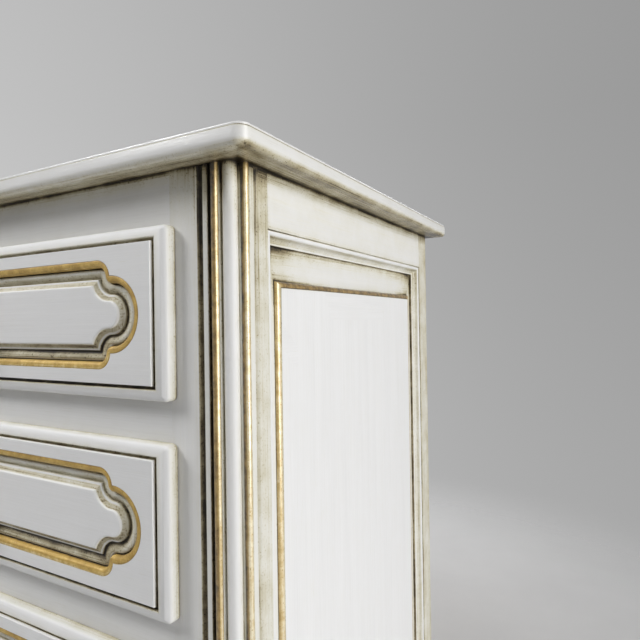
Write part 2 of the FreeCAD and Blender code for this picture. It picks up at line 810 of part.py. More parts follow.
def base_board():
    """Base board with a moulded upper edge and the holes for the feet's dowels."""
    body = new_body("base_board_body")
    plan = new_sketch(body, "base_board_plan", "XY_Plane", s.foot_height)
    board_outline(plan, s.base_over, s.base_over, rear, s.base_corner)
    main = pad(body, plan, s.base_thick)
    dress(body, "Fillet", main, edges_ahead(base_top, rear), "Radius", s.base_edge)
    holes = new_sketch(body, "base_board_holes", "XY_Plane", s.foot_height)
    for name, x, y in foot_places():
        circle(holes, x, y, s.dowel_round + s.dowel_play)
    pocket(body, holes, s.dowel_long + s.dowel_play, backwards=True)
    return finish(body, "base_board")


def foot(name, x, y):
    """Turned foot: collar, neck, belly and toe, with a dowel up into the base board."""
    body = new_body("foot_" + name + "_body")
    profile = new_sketch(body, "foot_" + name + "_profile", "XZ_Plane", zero)
    top = s.foot_height
    neck_level = top - s.foot_neck_drop
    shoulder = (neck_level + s.foot_belly_high) / 2
    start = (zero, zero)
    steps = []
    steps.append(((s.foot_toe, zero),))
    steps.append(((s.foot_toe, s.foot_toe_high),))
    belly = (s.foot_belly, s.foot_belly_high)
    rise = s.foot_belly_high - s.foot_toe_high
    run = s.foot_belly - s.foot_toe
    lower = (rise * rise + run * run) / (run * 2)
    lower_centre = (s.foot_belly - lower, s.foot_belly_high)
    steps.append((belly, lower, on_circle(lower_centre, lower, -12.0)))
    up = shoulder - s.foot_belly_high
    back = s.foot_belly - (s.foot_neck + s.foot_belly) / 2
    upper = (up * up + back * back) / (back * 2)
    upper_centre = (s.foot_belly - upper, s.foot_belly_high)
    knuckle = (s.foot_belly - back, shoulder)
    steps.append((knuckle, upper, on_circle(upper_centre, upper, 12.0)))
    steps.append(((s.foot_neck, neck_level),))
    steps.append(((s.foot_neck, top - s.foot_collar_high - s.foot_collar_slope),))
    steps.append(((s.foot_collar, top - s.foot_collar_high),))
    steps.append(((s.foot_collar, top),))
    steps.append(((s.dowel_round, top),))
    steps.append(((s.dowel_round, top + s.dowel_long),))
    steps.append(((zero, top + s.dowel_long),))
    steps.append((start,))
    outline(profile, start, steps)
    revolve(body, profile)
    bind(body, "Placement.Base.x", x)
    bind(body, "Placement.Base.y", y)
    return finish(body, "foot_" + name)


def rail_tenon(name, side, y0, y1, z0, z1, play):
    """The tenon that a front rail pushes into the post on one side, or its mortise."""
    shoulder_play = s.tenon_shoulder - play
    return side_block(
        name,
        side,
        half_open,
        half_open + s.tenon_long + play,
        y0 - play,
        y1 + play,
        z0 + shoulder_play,
        z1 - shoulder_play,
    )


def front_rail_levels():
    """Name, lower and upper level of each front rail, from the top down."""
    levels = [("front_top_rail", drawer_centre(0) + open_half_height, carcass_top)]
    for index in range(1, DRAWERS):
        upper = drawer_centre(index - 1) - open_half_height
        lower = drawer_centre(index) + open_half_height
        levels.append((f"drawer_rail_{index}", lower, upper))
    levels.append(("front_bottom_rail", base_top, drawer_centre(DRAWERS - 1) - open_half_height))
    return levels


tenon_front = front + (s.frame_thick - s.tenon_thick) / 2
tenon_rear = tenon_front + s.tenon_thick


def front_rails():
    for name, low, high in front_rail_levels():
        board = block(name + "_board", -half_open, half_open, front, front + s.frame_thick, low, high)
        pieces = [board]
        for side in (-1, 1):
            tenon_name = name + "_tenon_" + side_name(side)
            pieces.append(rail_tenon(tenon_name, side, tenon_front, tenon_rear, low, high, zero))
        finish(fused(name, pieces), name)


def side_rail_levels():
    return [
        ("side_top_rail", panel_high, carcass_top),
        ("side_bottom_rail", base_top, panel_low),
    ]


side_tenon_out = half_width - s.groove_deep - s.tenon_shoulder
side_tenon_in = side_tenon_out - s.tenon_thick


def side_tenons(name, side, low, high, play):
    """Tenons of a side rail into the front and rear posts, or their mortises."""
    made = []
    ends = [
        ("front", panel_front - s.tenon_long - play, panel_front),
        ("rear", panel_rear, panel_rear + s.tenon_long + play),
    ]
    for end, y0, y1 in ends:
        made.append(
            side_block(
                f"{name}_{end}",
                side,
                side_tenon_in - play,
                side_tenon_out + play,
                y0,
                y1,
                low + s.tenon_shoulder - play,
                high - s.tenon_shoulder + play,
            )
        )
    return made


def panel_slot(name, side):
    """The space that the edges of a side panel take in the frame round it."""
    out = s.panel_tongue + s.panel_play
    return side_block(
        name,
        side,
        panel_face - s.panel_thick - s.panel_play,
        panel_face + s.panel_play,
        panel_front - out,
        panel_rear + out,
        panel_low - out,
        panel_high + out,
    )


def side_rails(side):
    for name, low, high in side_rail_levels():
        label = f"{name}_{side_name(side)}"
        board = side_block(label + "_board", side, side_in, half_width, panel_front, panel_rear, low, high)
        whole = fused(label + "_blank", [board] + side_tenons(label + "_tenon", side, low, high, zero))
        made = cut(label, whole, [panel_slot(label + "_slot", side)])
        finish(made, label)


def front_post(side):
    """Front post: one moulded length with flange, grooves, column and bead seats."""
    name = "front_post_" + side_name(side)
    body = new_body(name + "_body")
    plan = new_sketch(body, name + "_plan", "XY_Plane", base_top)
    column = (half_width - s.column_back, front + s.column_deep)
    column_left = (column[0] - s.column_round, column[1])
    column_right = (column[0] + s.column_round * lean, column[1] + s.column_round * lean)
    before_column = [
        (half_open, front),
        (half_width - groove_far, front),
        (half_width - groove_foot, front + s.groove_deep),
        (half_width - groove_near, front + s.groove_deep),
        (half_width - groove_near, front),
        (half_width - fillet_near, front),
        (half_width - fillet_near, front + s.front_seat_deep),
        (half_width - seat_near, front + s.front_seat_deep),
        (half_width - seat_near, column[1]),
        column_left,
    ]
    after_column = [
        (half_width - s.side_seat_deep, column_right[1]),
        (half_width - s.side_seat_deep, front + side_seat_end),
        (half_width, front + side_seat_end),
        (half_width, front + side_fillet_end),
        (half_width - s.groove_deep, front + side_fillet_end),
        (half_width - s.groove_deep, front + side_groove_foot),
        (half_width, front + side_groove_end),
        (half_width, panel_front),
        (post_in, panel_front),
        (post_in, front + s.frame_thick),
        (half_open, front + s.frame_thick),
    ]
    steps = [(point,) for point in mirrored(before_column, side)[1:]]
    crown = on_circle(column, s.column_round, -60.0)
    steps.append((mirrored([column_right], side)[0], s.column_round, (crown[0] * side, crown[1])))
    steps += [(point,) for point in mirrored(after_column, side)]
    start = mirrored(before_column, side)[0]
    steps.append((start,))
    outline(plan, start, steps)
    pad(body, plan, carcass_height)

    cutters = [panel_slot(name + "_slot", side)]
    for rail, low, high in front_rail_levels():
        mortise = f"{name}_{rail}_mortise"
        cutters.append(rail_tenon(mortise, side, tenon_front, tenon_rear, low, high, s.tenon_play))
    for rail, low, high in side_rail_levels():
        cutters += side_tenons(f"{name}_{rail}_mortise", side, low, high, s.tenon_play)[:1]
    return finish(cut(name, body, cutters), name)


def rear_post(side):
    """Rear post with a rebate for the back panel."""
    name = "rear_post_" + side_name(side)
    board = side_block(name + "_board", side, post_in, half_width, panel_rear, rear, base_top, carcass_top)
    cutters = [panel_slot(name + "_slot", side)]
    rebate = side_block(
        name + "_rebate",
        side,
        post_in - OVERCUT,
        post_in + s.back_rebate,
        rear - s.back_thick,
        rear + OVERCUT,
        base_top - OVERCUT,
        carcass_top + OVERCUT,
    )
    cutters.append(rebate)
    for rail, low, high in side_rail_levels():
        cutters += side_tenons(f"{name}_{rail}_mortise", side, low, high, s.tenon_play)[1:]
    return finish(cut(name, board, cutters), name)


def back_panel():
    """Thin back in the rebates of the rear posts."""
    half = post_in + s.back_rebate - s.panel_play
    made = block("back_panel", -half, half, rear - s.back_thick, rear, base_top, carcass_top)
    return finish(made, "back_panel")


def bead(name, side, points, centre, middle):
    """One gilded bead. Its outline runs from the seat over the crown and back to the
    seat, and middle is the direction of its crown from its centre."""
    body = new_body(name + "_body")
    plan = new_sketch(body, name + "_plan", "XY_Plane", base_top)
    turns = [on_circle(centre, s.bead_round, middle - 45.0), on_circle(centre, s.bead_round, middle + 45.0)]
    first, left, crown, right, last = mirrored(points, side)
    through = mirrored(turns, side)
    steps = [
        (left,),
        (crown, s.bead_round, through[0]),
        (right, s.bead_round, through[1]),
        (last,),
        (first,),
    ]
    outline(plan, first, steps)
    pad(body, plan, carcass_height)
    return body


def corner_beads(side):
    """The two gilded beads of a front corner, flat behind and round in front."""
    name = "corner_gilt_beads_" + side_name(side)
    x = half_width - front_bead_back
    y = front + s.front_bead_deep
    seat = front + s.front_seat_deep
    front_points = [
        (x - s.bead_round, seat),
        (x - s.bead_round, y),
        (x, y - s.bead_round),
        (x + s.bead_round, y),
        (x + s.bead_round, seat),
    ]
    on_front = bead(name + "_front", side, front_points, (x, y), -90.0)
    x = half_width - s.side_bead_deep
    y = front + side_bead_back
    seat = half_width - s.side_seat_deep
    side_points = [
        (seat, y - s.bead_round),
        (x, y - s.bead_round),
        (x + s.bead_round, y),
        (x, y + s.bead_round),
        (seat, y + s.bead_round),
    ]
    on_side = bead(name + "_side", side, side_points, (x, y), 0.0)
    return finish(grouped(name, [on_front, on_side]), name)


def ring(sketch, y0, y1, z0, z1, width):
    """A rectangular ring of a given width, measured inwards."""
    rectangle(sketch, y0, y1, z0, z1)
    rectangle(sketch, y0 + width, y1 - width, z0 + width, z1 - width)


def panel_level(side, depth):
    """Sketch level on the side plane, at a depth behind the face of the side frame."""
    level = half_width - depth
    return level if side > 0 else -level


def ring_test(side, depth, y0, y1, z0, z1):
    """A test for the edges of one rectangle at a depth behind the side frame's face."""
    x = number(panel_level(side, depth))
    limits = [number(v) for v in (y0, y1, z0, z1)]

    def test(edge):
        box = edge.BoundBox
        if abs(box.XMin - x) > 1e-4 or abs(box.XMax - x) > 1e-4:
            return False
        on_y = any(abs(box.YMin - v) < 1e-4 and abs(box.YMax - v) < 1e-4 for v in limits[:2])
        on_z = any(abs(box.ZMin - v) < 1e-4 and abs(box.ZMax - v) < 1e-4 for v in limits[2:])
        within_y = box.YMin > limits[0] - 1e-4 and box.YMax < limits[1] + 1e-4
        within_z = box.ZMin > limits[2] - 1e-4 and box.ZMax < limits[3] + 1e-4
        return (on_y or on_z) and within_y and within_z

    return test


def side_panel_moulding(side):
    """Moulding inside the side frame: sunk line, bead, hollow and foot."""
    name = "side_panel_moulding_" + side_name(side)
    body = new_body(name + "_body")
    inwards = side > 0
    limits = (panel_front, panel_rear, panel_low, panel_high)
    foot_level = s.panel_inset - s.stick_foot
    base = new_sketch(body, name + "_foot", "YZ_Plane", panel_level(side, foot_level))
    ring(base, *limits, s.stick_width)
    pad(body, base, s.stick_foot, backwards=inwards)

    cove_width = s.stick_width - s.stick_land
    middle = new_sketch(body, name + "_cove", "YZ_Plane", panel_level(side, s.stick_quirk_deep))
    ring(middle, *limits, cove_width)
    solid = pad(body, middle, foot_level - s.stick_quirk_deep, backwards=inwards)
    inner = (
        panel_front + cove_width,
        panel_rear - cove_width,
        panel_low + cove_width,
        panel_high - cove_width,
    )
    cove_edges = ring_test(side, s.stick_quirk_deep, *inner)
    dress(body, "Chamfer", solid, cove_edges, "Size", s.stick_cove)

    bead = new_sketch(body, name + "_bead", "YZ_Plane", panel_level(side, s.stick_low))
    outer = (
        panel_front + s.stick_quirk,
        panel_rear - s.stick_quirk,
        panel_low + s.stick_quirk,
        panel_high - s.stick_quirk,
    )
    ring(bead, *outer, s.stick_bead)
    pad(body, bead, s.stick_quirk_deep - s.stick_low, backwards=inwards)
    return finish(body, name)


def gilt_limits():
    """Outer edges of the gilded frame on a side panel."""
    return (
        panel_front + s.stick_width + s.gilt_margin_side,
        panel_rear - s.stick_width - s.gilt_margin_side,
        panel_low + s.stick_width + s.gilt_margin_end,
        panel_high - s.stick_width - s.gilt_margin_end,
    )


def side_gilt_frame(side):
    """Gilded frame round the raised field, rounded on its outer edge."""
    name = "side_gilt_frame_" + side_name(side)
    body = new_body(name + "_body")
    limits = gilt_limits()
    face = new_sketch(body, name + "_ring", "YZ_Plane", panel_level(side, s.panel_inset - s.raised))
    ring(face, *limits, s.gilt_frame)
    solid = pad(body, face, s.raised, backwards=side > 0)
    outer_edges = ring_test(side, s.panel_inset - s.raised, *limits)
    dress(body, "Fillet", solid, outer_edges, "Radius", s.raised - s.gilt_frame_foot)
    return finish(body, name)


def side_panel(side):
    """Side panel with its tongue in the frame and a raised field in the middle."""
    name = "side_panel_" + side_name(side)
    edge = side_block(
        name + "_board",
        side,
        panel_face - s.panel_thick,
        panel_face,
        panel_front - s.panel_tongue,
        panel_rear + s.panel_tongue,
        panel_low - s.panel_tongue,
        panel_high + s.panel_tongue,
    )
    y0, y1, z0, z1 = gilt_limits()
    inset = s.gilt_frame + s.gilt_play
    field = side_block(
        name + "_field",
        side,
        panel_face - OVERCUT,
        panel_face + s.raised,
        y0 + inset,
        y1 - inset,
        z0 + inset,
        z1 - inset,
    )
    return finish(fused(name, [edge, field]), name)


def runners(side):
    """The drawer runners of one side, each with its guide, screwed to the posts."""
    name = "drawer_runners_" + side_name(side)
    made = []
    for index in range(DRAWERS):
        top = drawer_centre(index) - open_half_height
        one = f"{name}_{index + 1}"
        y0 = front + s.frame_thick
        y1 = rear - s.back_thick
        board = side_block(
            one + "_board", side, post_in - s.runner_width, post_in, y0, y1, top - s.runner_thick, top
        )
        guide = side_block(
            one + "_guide", side, box_out + s.guide_play, post_in, y0, y1, top, top + s.guide_height
        )
        made.append(fused(one, [board, guide]))
    return finish(grouped(name, made), name)


top_slab()
base_board()
for foot_name, foot_x, foot_y in foot_places():
    foot(foot_name, foot_x, foot_y)
front_rails()
back_panel()
for hand in (-1, 1):
    front_post(hand)
    rear_post(hand)
    corner_beads(hand)
    side_rails(hand)
    side_panel(hand)
    side_panel_moulding(hand)
    side_gilt_frame(hand)
    runners(hand)
for number_from_top in range(DRAWERS):
    drawer(number_from_top)

doc.recompute()
faults = []
for thing in doc.Objects:
    if "Invalid" in thing.State or "Error" in thing.State:
        faults.append(f"{thing.Name} is {thing.State}")
for part in finished:
    if part.Shape.isNull() or not part.Shape.isValid() or not part.Shape.Solids:
        faults.append(f"{part.Label} has no valid shape")
if faults:
    raise RuntimeError("; ".join(faults))

os.makedirs("parts", exist_ok=True)
for part in finished:
    part.Shape.exportStep(os.path.join("parts", part.Label + ".step"))
print(f"{len(finished)} sub-parts written")
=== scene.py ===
import math

import bmesh
import bpy
from mathutils import Matrix, Vector


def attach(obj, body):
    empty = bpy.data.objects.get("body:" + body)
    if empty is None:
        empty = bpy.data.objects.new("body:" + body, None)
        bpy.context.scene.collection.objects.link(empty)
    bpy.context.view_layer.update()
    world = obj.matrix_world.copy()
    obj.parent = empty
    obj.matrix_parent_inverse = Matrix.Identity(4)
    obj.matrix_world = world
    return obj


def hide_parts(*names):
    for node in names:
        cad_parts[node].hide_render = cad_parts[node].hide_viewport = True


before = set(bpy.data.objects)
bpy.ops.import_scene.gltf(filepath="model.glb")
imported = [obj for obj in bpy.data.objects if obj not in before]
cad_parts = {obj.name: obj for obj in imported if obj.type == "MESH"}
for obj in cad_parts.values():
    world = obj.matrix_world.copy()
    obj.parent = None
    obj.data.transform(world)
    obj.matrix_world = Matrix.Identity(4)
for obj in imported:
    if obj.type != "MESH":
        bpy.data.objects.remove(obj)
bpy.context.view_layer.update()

# Looks of a painted chest of drawers with gilded trim. Lengths are in millimetres in
# the tables below and become metres when a mesh is made.
MM = 0.001

# Places shared with the frame: half the width, the faces of the front and the rear, and the
# levels between which the carcass stands
HALF = 550.0
FRONT = -224.3
REAR = 255.7
BASE_TOP = 94.0
TOP = 902.6
# Drawers: the heights of their middles, half of each opening, half of each front, the
# widths of its lip along the sides and at the ends, the distance of a knob from the middle,
# and how far the raised panel stands in front of the frame
CENTRES = [779.7, 592.1, 404.5, 216.9]
OPEN_X, OPEN_Z = 478.0, 69.2
LIP_X, LIP_Z = 484.4, 75.6
LIP_SIDE, LIP_END = 14.0, 16.4
KNOB_SPREAD = 200.0
ISLE_PROUD = 14.4
# Frame: thicknesses of its boards, widths of the side rails and of the posts on the side,
# and the opening of the side frame as front, rear, bottom and top
FRAME_THICK = 22.0
SIDE_THICK = 26.0
SIDE_RAIL = 50.0
POST_SIDE = 44.6
POST_CORE = 40.0
REAR_POST = 32.3
PANEL = (FRONT + POST_SIDE, REAR - REAR_POST, BASE_TOP + SIDE_RAIL, TOP - SIDE_RAIL)
# Top and base board: how far they stand out, and the radii of their front corners
SLAB_SIDE, SLAB_FRONT, SLAB_BACK, SLAB_CORNER = 28.0, 27.0, 13.0, 11.0
BASE_OVER, BASE_CORNER, BASE_THICK = 14.0, 18.0, 24.0
# Distance of a foot's axis from the sides, the front and the rear
FOOT_INSET = 46.0


def between(value, low, high):
    """0 up to the low limit, 1 from the high limit on, and even in between."""
    return min(1.0, max(0.0, (value - low) / (high - low)))


def put(name, data):
    """An object in the scene."""
    made = bpy.data.objects.new(name, data)
    bpy.context.scene.collection.objects.link(made)
    return made


class Skin:
    """Points with a share of glaze and painted light, and faces, that become one mesh."""

    def __init__(self):
        self.points = []
        self.glaze_and_painted_light = []
        self.faces = []
        self.runs = []

    def point(self, place, glaze_and_painted_light=0.0):
        self.points.append(Vector(place) * MM)
        self.glaze_and_painted_light.append(glaze_and_painted_light)
        return len(self.points) - 1

    def ring(self, places, glaze_and_painted_light):
        return [self.point(p, glaze_and_painted_light) for p in places]

    def face(self, corners, run=None):
        self.faces.append(tuple(corners))
        self.runs.append(run)

    def strip(self, first, second, run=None):
        count = len(first)
        for i in range(count):
            j = (i + 1) % count
            self.face((first[i], first[j], second[j], second[i]), run)

    def cap(self, ring, run=None):
        self.face(ring, run)

    def loft(self, rings):
        """Joins each ring to the next."""
        for first, second in zip(rings, rings[1:]):
            self.strip(first, second)

    def closed(self, rings):
        """Joins each ring to the next and caps both ends."""
        self.loft(rings)
        self.cap(rings[0])
        self.cap(rings[-1])

    def brushed(self, corners, run, grain):
        """0 where the brush ran along the first grain axis, 1 for the second."""
        if run is not None:
            return float(run)
        places = [self.points[i] for i in corners]
        sides = [b - a for a, b in zip(places, places[1:] + places[:1])]
        longest = max(sides, key=lambda side: side.length)
        return float(abs(longest[grain[1]]) > abs(longest[grain[0]]))


def finish_mesh(skin, name, material, body, nodes, sharp=14.0, bevel=0.0):
    """Welds the skin, shades it by angle, and gives it to its body."""
    mesh = bpy.data.meshes.new(name)
    mesh.from_pydata([tuple(p) for p in skin.points], [], skin.faces)
    layer = mesh.attributes.new("glaze_and_painted_light", "FLOAT", "POINT")
    layer.data.foreach_set("value", skin.glaze_and_painted_light)
    grain = GRAIN.get(material.name, (0, 2))
    runs = [skin.brushed(corners, run, grain) for corners, run in zip(skin.faces, skin.runs)]
    layer = mesh.attributes.new("run", "FLOAT", "FACE")
    layer.data.foreach_set("value", runs)
    work = bmesh.new()
    work.from_mesh(mesh)
    bmesh.ops.remove_doubles(work, verts=work.verts, dist=1e-6)
    bmesh.ops.dissolve_degenerate(work, dist=1e-7, edges=work.edges)
    loose = [v for v in work.verts if not v.link_faces]
    bmesh.ops.delete(work, geom=loose, context="VERTS")
    bmesh.ops.recalc_face_normals(work, faces=work.faces)
    limit = math.radians(sharp)
    for face in work.faces:
        face.smooth = True
    for edge in work.edges:
        edge.smooth = len(edge.link_faces) == 2 and edge.calc_face_angle(9.0) < limit
    work.to_mesh(mesh)
    work.free()
    made = put(name, mesh)
    mesh.materials.append(material)
    if bevel:
        rounding = made.modifiers.new("Arris", "BEVEL")
        rounding.width = bevel * MM
        rounding.segments = 2
        rounding.limit_method = "ANGLE"
        rounding.angle_limit = math.radians(40)
        rounding.harden_normals = False
    weighted = made.modifiers.new("Normals", "WEIGHTED_NORMAL")
    weighted.keep_sharp = True
    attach(made, body)
    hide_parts(*nodes)


def arc(cx, cy, radius, start, end, g0, g1, step=9.0, radius_y=None):
    """Points on an arc, with glaze and painted light changing from one end to the other."""
    count = max(2, math.ceil(abs(end - start) / step))
    points = []
    for i in range(count + 1):
        share = i / count
        turn = math.radians(start + (end - start) * share)
        y = cy + (radius_y or radius) * math.sin(turn)
        points.append((cx + radius * math.cos(turn), y, g0 + (g1 - g0) * share))
    return points


# Materials

WHITE = (0.800, 0.800, 0.802)
# Tones of the olive brown glaze, which also give the painted shade where the share carries it
GLAZE = [
    (0.00, WHITE),
    (0.18, (0.722, 0.708, 0.640)),
    (0.36, (0.565, 0.525, 0.390)),
    (0.54, (0.385, 0.332, 0.208)),
    (0.74, (0.170, 0.132, 0.068)),
    (1.00, (0.022, 0.016, 0.008)),
]
# Gold tones of the recesses. The palest, reached where the lower runs carry little glaze, paints
# light on them.
MUSTARD = [
    (0.00, (0.820, 0.700, 0.400)),
    (0.14, (0.585, 0.405, 0.115)),
    (0.30, (0.450, 0.290, 0.066)),
    (0.52, (0.310, 0.195, 0.048)),
    (0.76, (0.140, 0.090, 0.028)),
    (1.00, (0.030, 0.020, 0.009)),
]
# Gold tones of the beads and the side frames. The palest, where the glaze is nil, paints a
# highlight on their crowns.
GILT = [
    (0.00, (0.900, 0.820, 0.600)),
    (0.14, (0.690, 0.540, 0.280)),
    (0.30, (0.500, 0.345, 0.120)),
    (0.52, (0.330, 0.215, 0.070)),
    (0.76, (0.140, 0.090, 0.032)),
    (1.00, (0.030, 0.020, 0.009)),
]
GRAIN = {}


class Nodes:
    """Short calls for building a node tree."""

    def __init__(self, tree):
        self.tree = tree

    def add(self, kind, **values):
        node = self.tree.nodes.new(kind)
        for key, value in values.items():
            setattr(node, key, value)
        return node

    def link(self, source, target):
        self.tree.links.new(source, target)

    def feed(self, target, value):
        if hasattr(value, "is_output"):
            self.link(value, target)
        else:
            target.default_value = value

    def math(self, operation, a, b=0.0, clamp=False):
        node = self.add("ShaderNodeMath", operation=operation, use_clamp=clamp)
        for socket, value in zip(node.inputs, (a, b)):
            self.feed(socket, value)
        return node.outputs[0]

    def noise(self, vector, scale, detail=3.0, rough=0.55, distort=0.0):
        node = self.add("ShaderNodeTexNoise")
        self.link(vector, node.inputs["Vector"])
        node.inputs["Scale"].default_value = scale
        node.inputs["Detail"].default_value = detail
        node.inputs["Roughness"].default_value = rough
        node.inputs["Distortion"].default_value = distort
        return node.outputs["Fac"]

    def place(self):
        return self.add("ShaderNodeTexCoord").outputs["Object"]

    def share(self, name):
        return self.add("ShaderNodeAttribute", attribute_name=name).outputs["Fac"]

    def stretched(self, vector, scale):
        node = self.add("ShaderNodeMapping")
        self.link(vector, node.inputs["Vector"])
        node.inputs["Scale"].default_value = scale
        return node.outputs["Vector"]

    def grained(self, place, run, axes, along, across, detail, rough):
        """Noise drawn out along the first axis, or the second where the piece turns."""
        one, other = (self.stretched(place, grain_scale(axis, along, across)) for axis in axes)
        return self.noise(self.mix_vector(run, one, other), 1.0, detail, rough)

    def spread(self, value, low, high, to_low=0.0, to_high=1.0):
        node = self.add("ShaderNodeMapRange")
        self.feed(node.inputs["Value"], value)
        node.inputs["From Min"].default_value = low
        node.inputs["From Max"].default_value = high
        node.inputs["To Min"].default_value = to_low
        node.inputs["To Max"].default_value = to_high
        return node.outputs["Result"]

    def ramp(self, value, stops):
        node = self.add("ShaderNodeValToRGB")
        self.feed(node.inputs["Fac"], value)
        while len(node.color_ramp.elements) < len(stops):
            node.color_ramp.elements.new(0.5)
        for element, (place, colour) in zip(node.color_ramp.elements, stops):
            element.position = place
            element.color = (*colour, 1.0)
        return node.outputs["Color"]

    def mix_vector(self, share, a, b):
        node = self.add("ShaderNodeMix", data_type="VECTOR")
        self.link(share, node.inputs["Factor"])
        self.link(a, node.inputs[4])
        self.link(b, node.inputs[5])
        return node.outputs[1]

    def mix(self, share, a, b, blend="MIX"):
        node = self.add("ShaderNodeMix", data_type="RGBA", blend_type=blend)
        self.feed(node.inputs["Factor"], share)
        self.feed(node.inputs[6], a)
        self.feed(node.inputs[7], b)
        return node.outputs[2]

    def grey(self, value):
        node = self.add("ShaderNodeCombineColor")
        for socket in node.inputs[:3]:
            self.feed(socket, value)
        return node.outputs[0]

    def bump(self, shader, height, strength, distance):
        node = self.add("ShaderNodeBump")
        node.inputs["Strength"].default_value = strength
        node.inputs["Distance"].default_value = distance
        self.link(height, node.inputs["Height"])
        self.link(node.outputs[0], shader.inputs["Normal"])


def new_material(name):
    """An empty material with its node helper and its shader."""
    made = bpy.data.materials.new(name)
    made.use_nodes = True
    tree = made.node_tree
    tree.nodes.clear()
    n = Nodes(tree)
    shader = n.add("ShaderNodeBsdfPrincipled")
    output = n.add("ShaderNodeOutputMaterial")
    n.link(shader.outputs[0], output.inputs["Surface"])
    return made, n, shader


def grain_scale(axis, along, across):
    """Noise scales with the grain along one axis."""
    return tuple(along if a == axis else across for a in "XYZ")


def paint(name, first, second, gloss=0.0):
    """Brushed antique white over open wood grain that runs along the first axis, or the
    second where the piece turns, with an olive brown glaze left in the hollows and painted
    shade in the same tones."""
    made, n, shader = new_material(name)
    GRAIN[name] = ("XYZ".index(first), "XYZ".index(second))
    place = n.place()
    glaze_and_painted_light = n.share("glaze_and_painted_light")
    run = n.share("run")

    axes = (first, second)
    streaks = n.grained(place, run, axes, 9.0, 560.0, 5.0, 0.64)
    pores = n.grained(place, run, axes, 45.0, 1500.0, 2.0, 0.6)
    bands = n.grained(place, run, axes, 3.5, 75.0, 3.0, 0.5)
    patches = n.noise(place, 38.0, 5.0, 0.64)
    clouds = n.noise(place, 9.0, 3.0, 0.55)
    specks = n.noise(place, 560.0, 2.0, 0.55)

    uneven = n.spread(patches, 0.3, 0.7, 0.66, 1.28)
    uneven = n.math("ADD", uneven, n.spread(streaks, 0.3, 0.7, -0.24, 0.24))
    uneven = n.math("ADD", uneven, n.spread(clouds, 0.3, 0.7, -0.14, 0.14))
    left = n.math("MULTIPLY", glaze_and_painted_light, uneven, clamp=True)
    pore_mask = n.spread(pores, 0.61, 0.72)
    film = n.math("MULTIPLY", n.spread(patches, 0.45, 0.75), 0.015)
    left = n.math("ADD", left, n.math("ADD", film, n.math("MULTIPLY", pore_mask, 0.07)))
    specked = n.spread(glaze_and_painted_light, 0.06, 0.40, 0.0, 0.36)
    left = n.math("ADD", left, n.math("MULTIPLY", n.spread(specks, 0.60, 0.69), specked))
    streaked = n.spread(glaze_and_painted_light, 0.04, 0.30, 0.0, 0.30)
    streaked = n.math("MULTIPLY", n.spread(streaks, 0.55, 0.72), streaked)
    left = n.math("ADD", left, streaked, clamp=True)
    colour = n.ramp(left, GLAZE)
    tone = n.spread(streaks, 0.25, 0.75, 0.955, 1.02)
    tone = n.math("ADD", tone, n.spread(bands, 0.25, 0.75, -0.02, 0.02))
    colour = n.mix(1.0, colour, n.grey(tone), "MULTIPLY")
    n.link(colour, shader.inputs["Base Color"])
    rough = n.spread(streaks, 0.25, 0.75, 0.54 - gloss, 0.62 - gloss)
    n.link(n.math("ADD", rough, n.math("MULTIPLY", left, 0.08)), shader.inputs["Roughness"])
    height = n.math("ADD", n.math("MULTIPLY", streaks, 0.6), n.math("MULTIPLY", pore_mask, -0.5))
    height = n.math("ADD", height, n.math("MULTIPLY", patches, 0.8))
    n.bump(shader, height, 0.25, 0.0005)
    return made


def gilding(name, first, second, tones, polish):
    """Bronze gold brushed along the run, pale on the crown as a painted highlight, and dark in
    the corners from glaze and painted shade.
    """
    made, n, shader = new_material(name)
    GRAIN[name] = ("XYZ".index(first), "XYZ".index(second))
    place = n.place()
    glaze_and_painted_light = n.share("glaze_and_painted_light")
    run = n.share("run")
    streaks = n.grained(place, run, (first, second), 30.0, 900.0, 4.0, 0.6)
    patches = n.noise(place, 120.0, 4.0, 0.6)
    specks = n.noise(place, 800.0, 2.0, 0.5)
    worn = n.spread(patches, 0.35, 0.75, -0.03, 0.13)
    worn = n.math("ADD", worn, n.spread(streaks, 0.35, 0.75, -0.04, 0.12))
    worn = n.math("ADD", worn, n.spread(specks, 0.62, 0.72, 0.0, 0.30))
    settled = n.math("MULTIPLY", glaze_and_painted_light, n.spread(patches, 0.3, 0.7, 0.75, 1.25))
    dark = n.math("ADD", settled, worn, clamp=True)
    n.link(n.ramp(dark, tones), shader.inputs["Base Color"])
    n.link(n.spread(dark, 1.0, 0.6, 0.05, 0.25), shader.inputs["Metallic"])
    smoother = 0.26 * polish
    rough = n.spread(streaks, 0.3, 0.7, 0.52 - smoother, 0.62 - smoother)
    n.link(n.math("ADD", rough, n.math("MULTIPLY", dark, 0.22)), shader.inputs["Roughness"])
    shader.inputs["Coat Weight"].default_value = 0.15 + 0.75 * polish
    shader.inputs["Coat Roughness"].default_value = 0.40 - 0.22 * polish
    n.bump(shader, n.math("ADD", streaks, patches), 0.3, 0.0004)
    return made


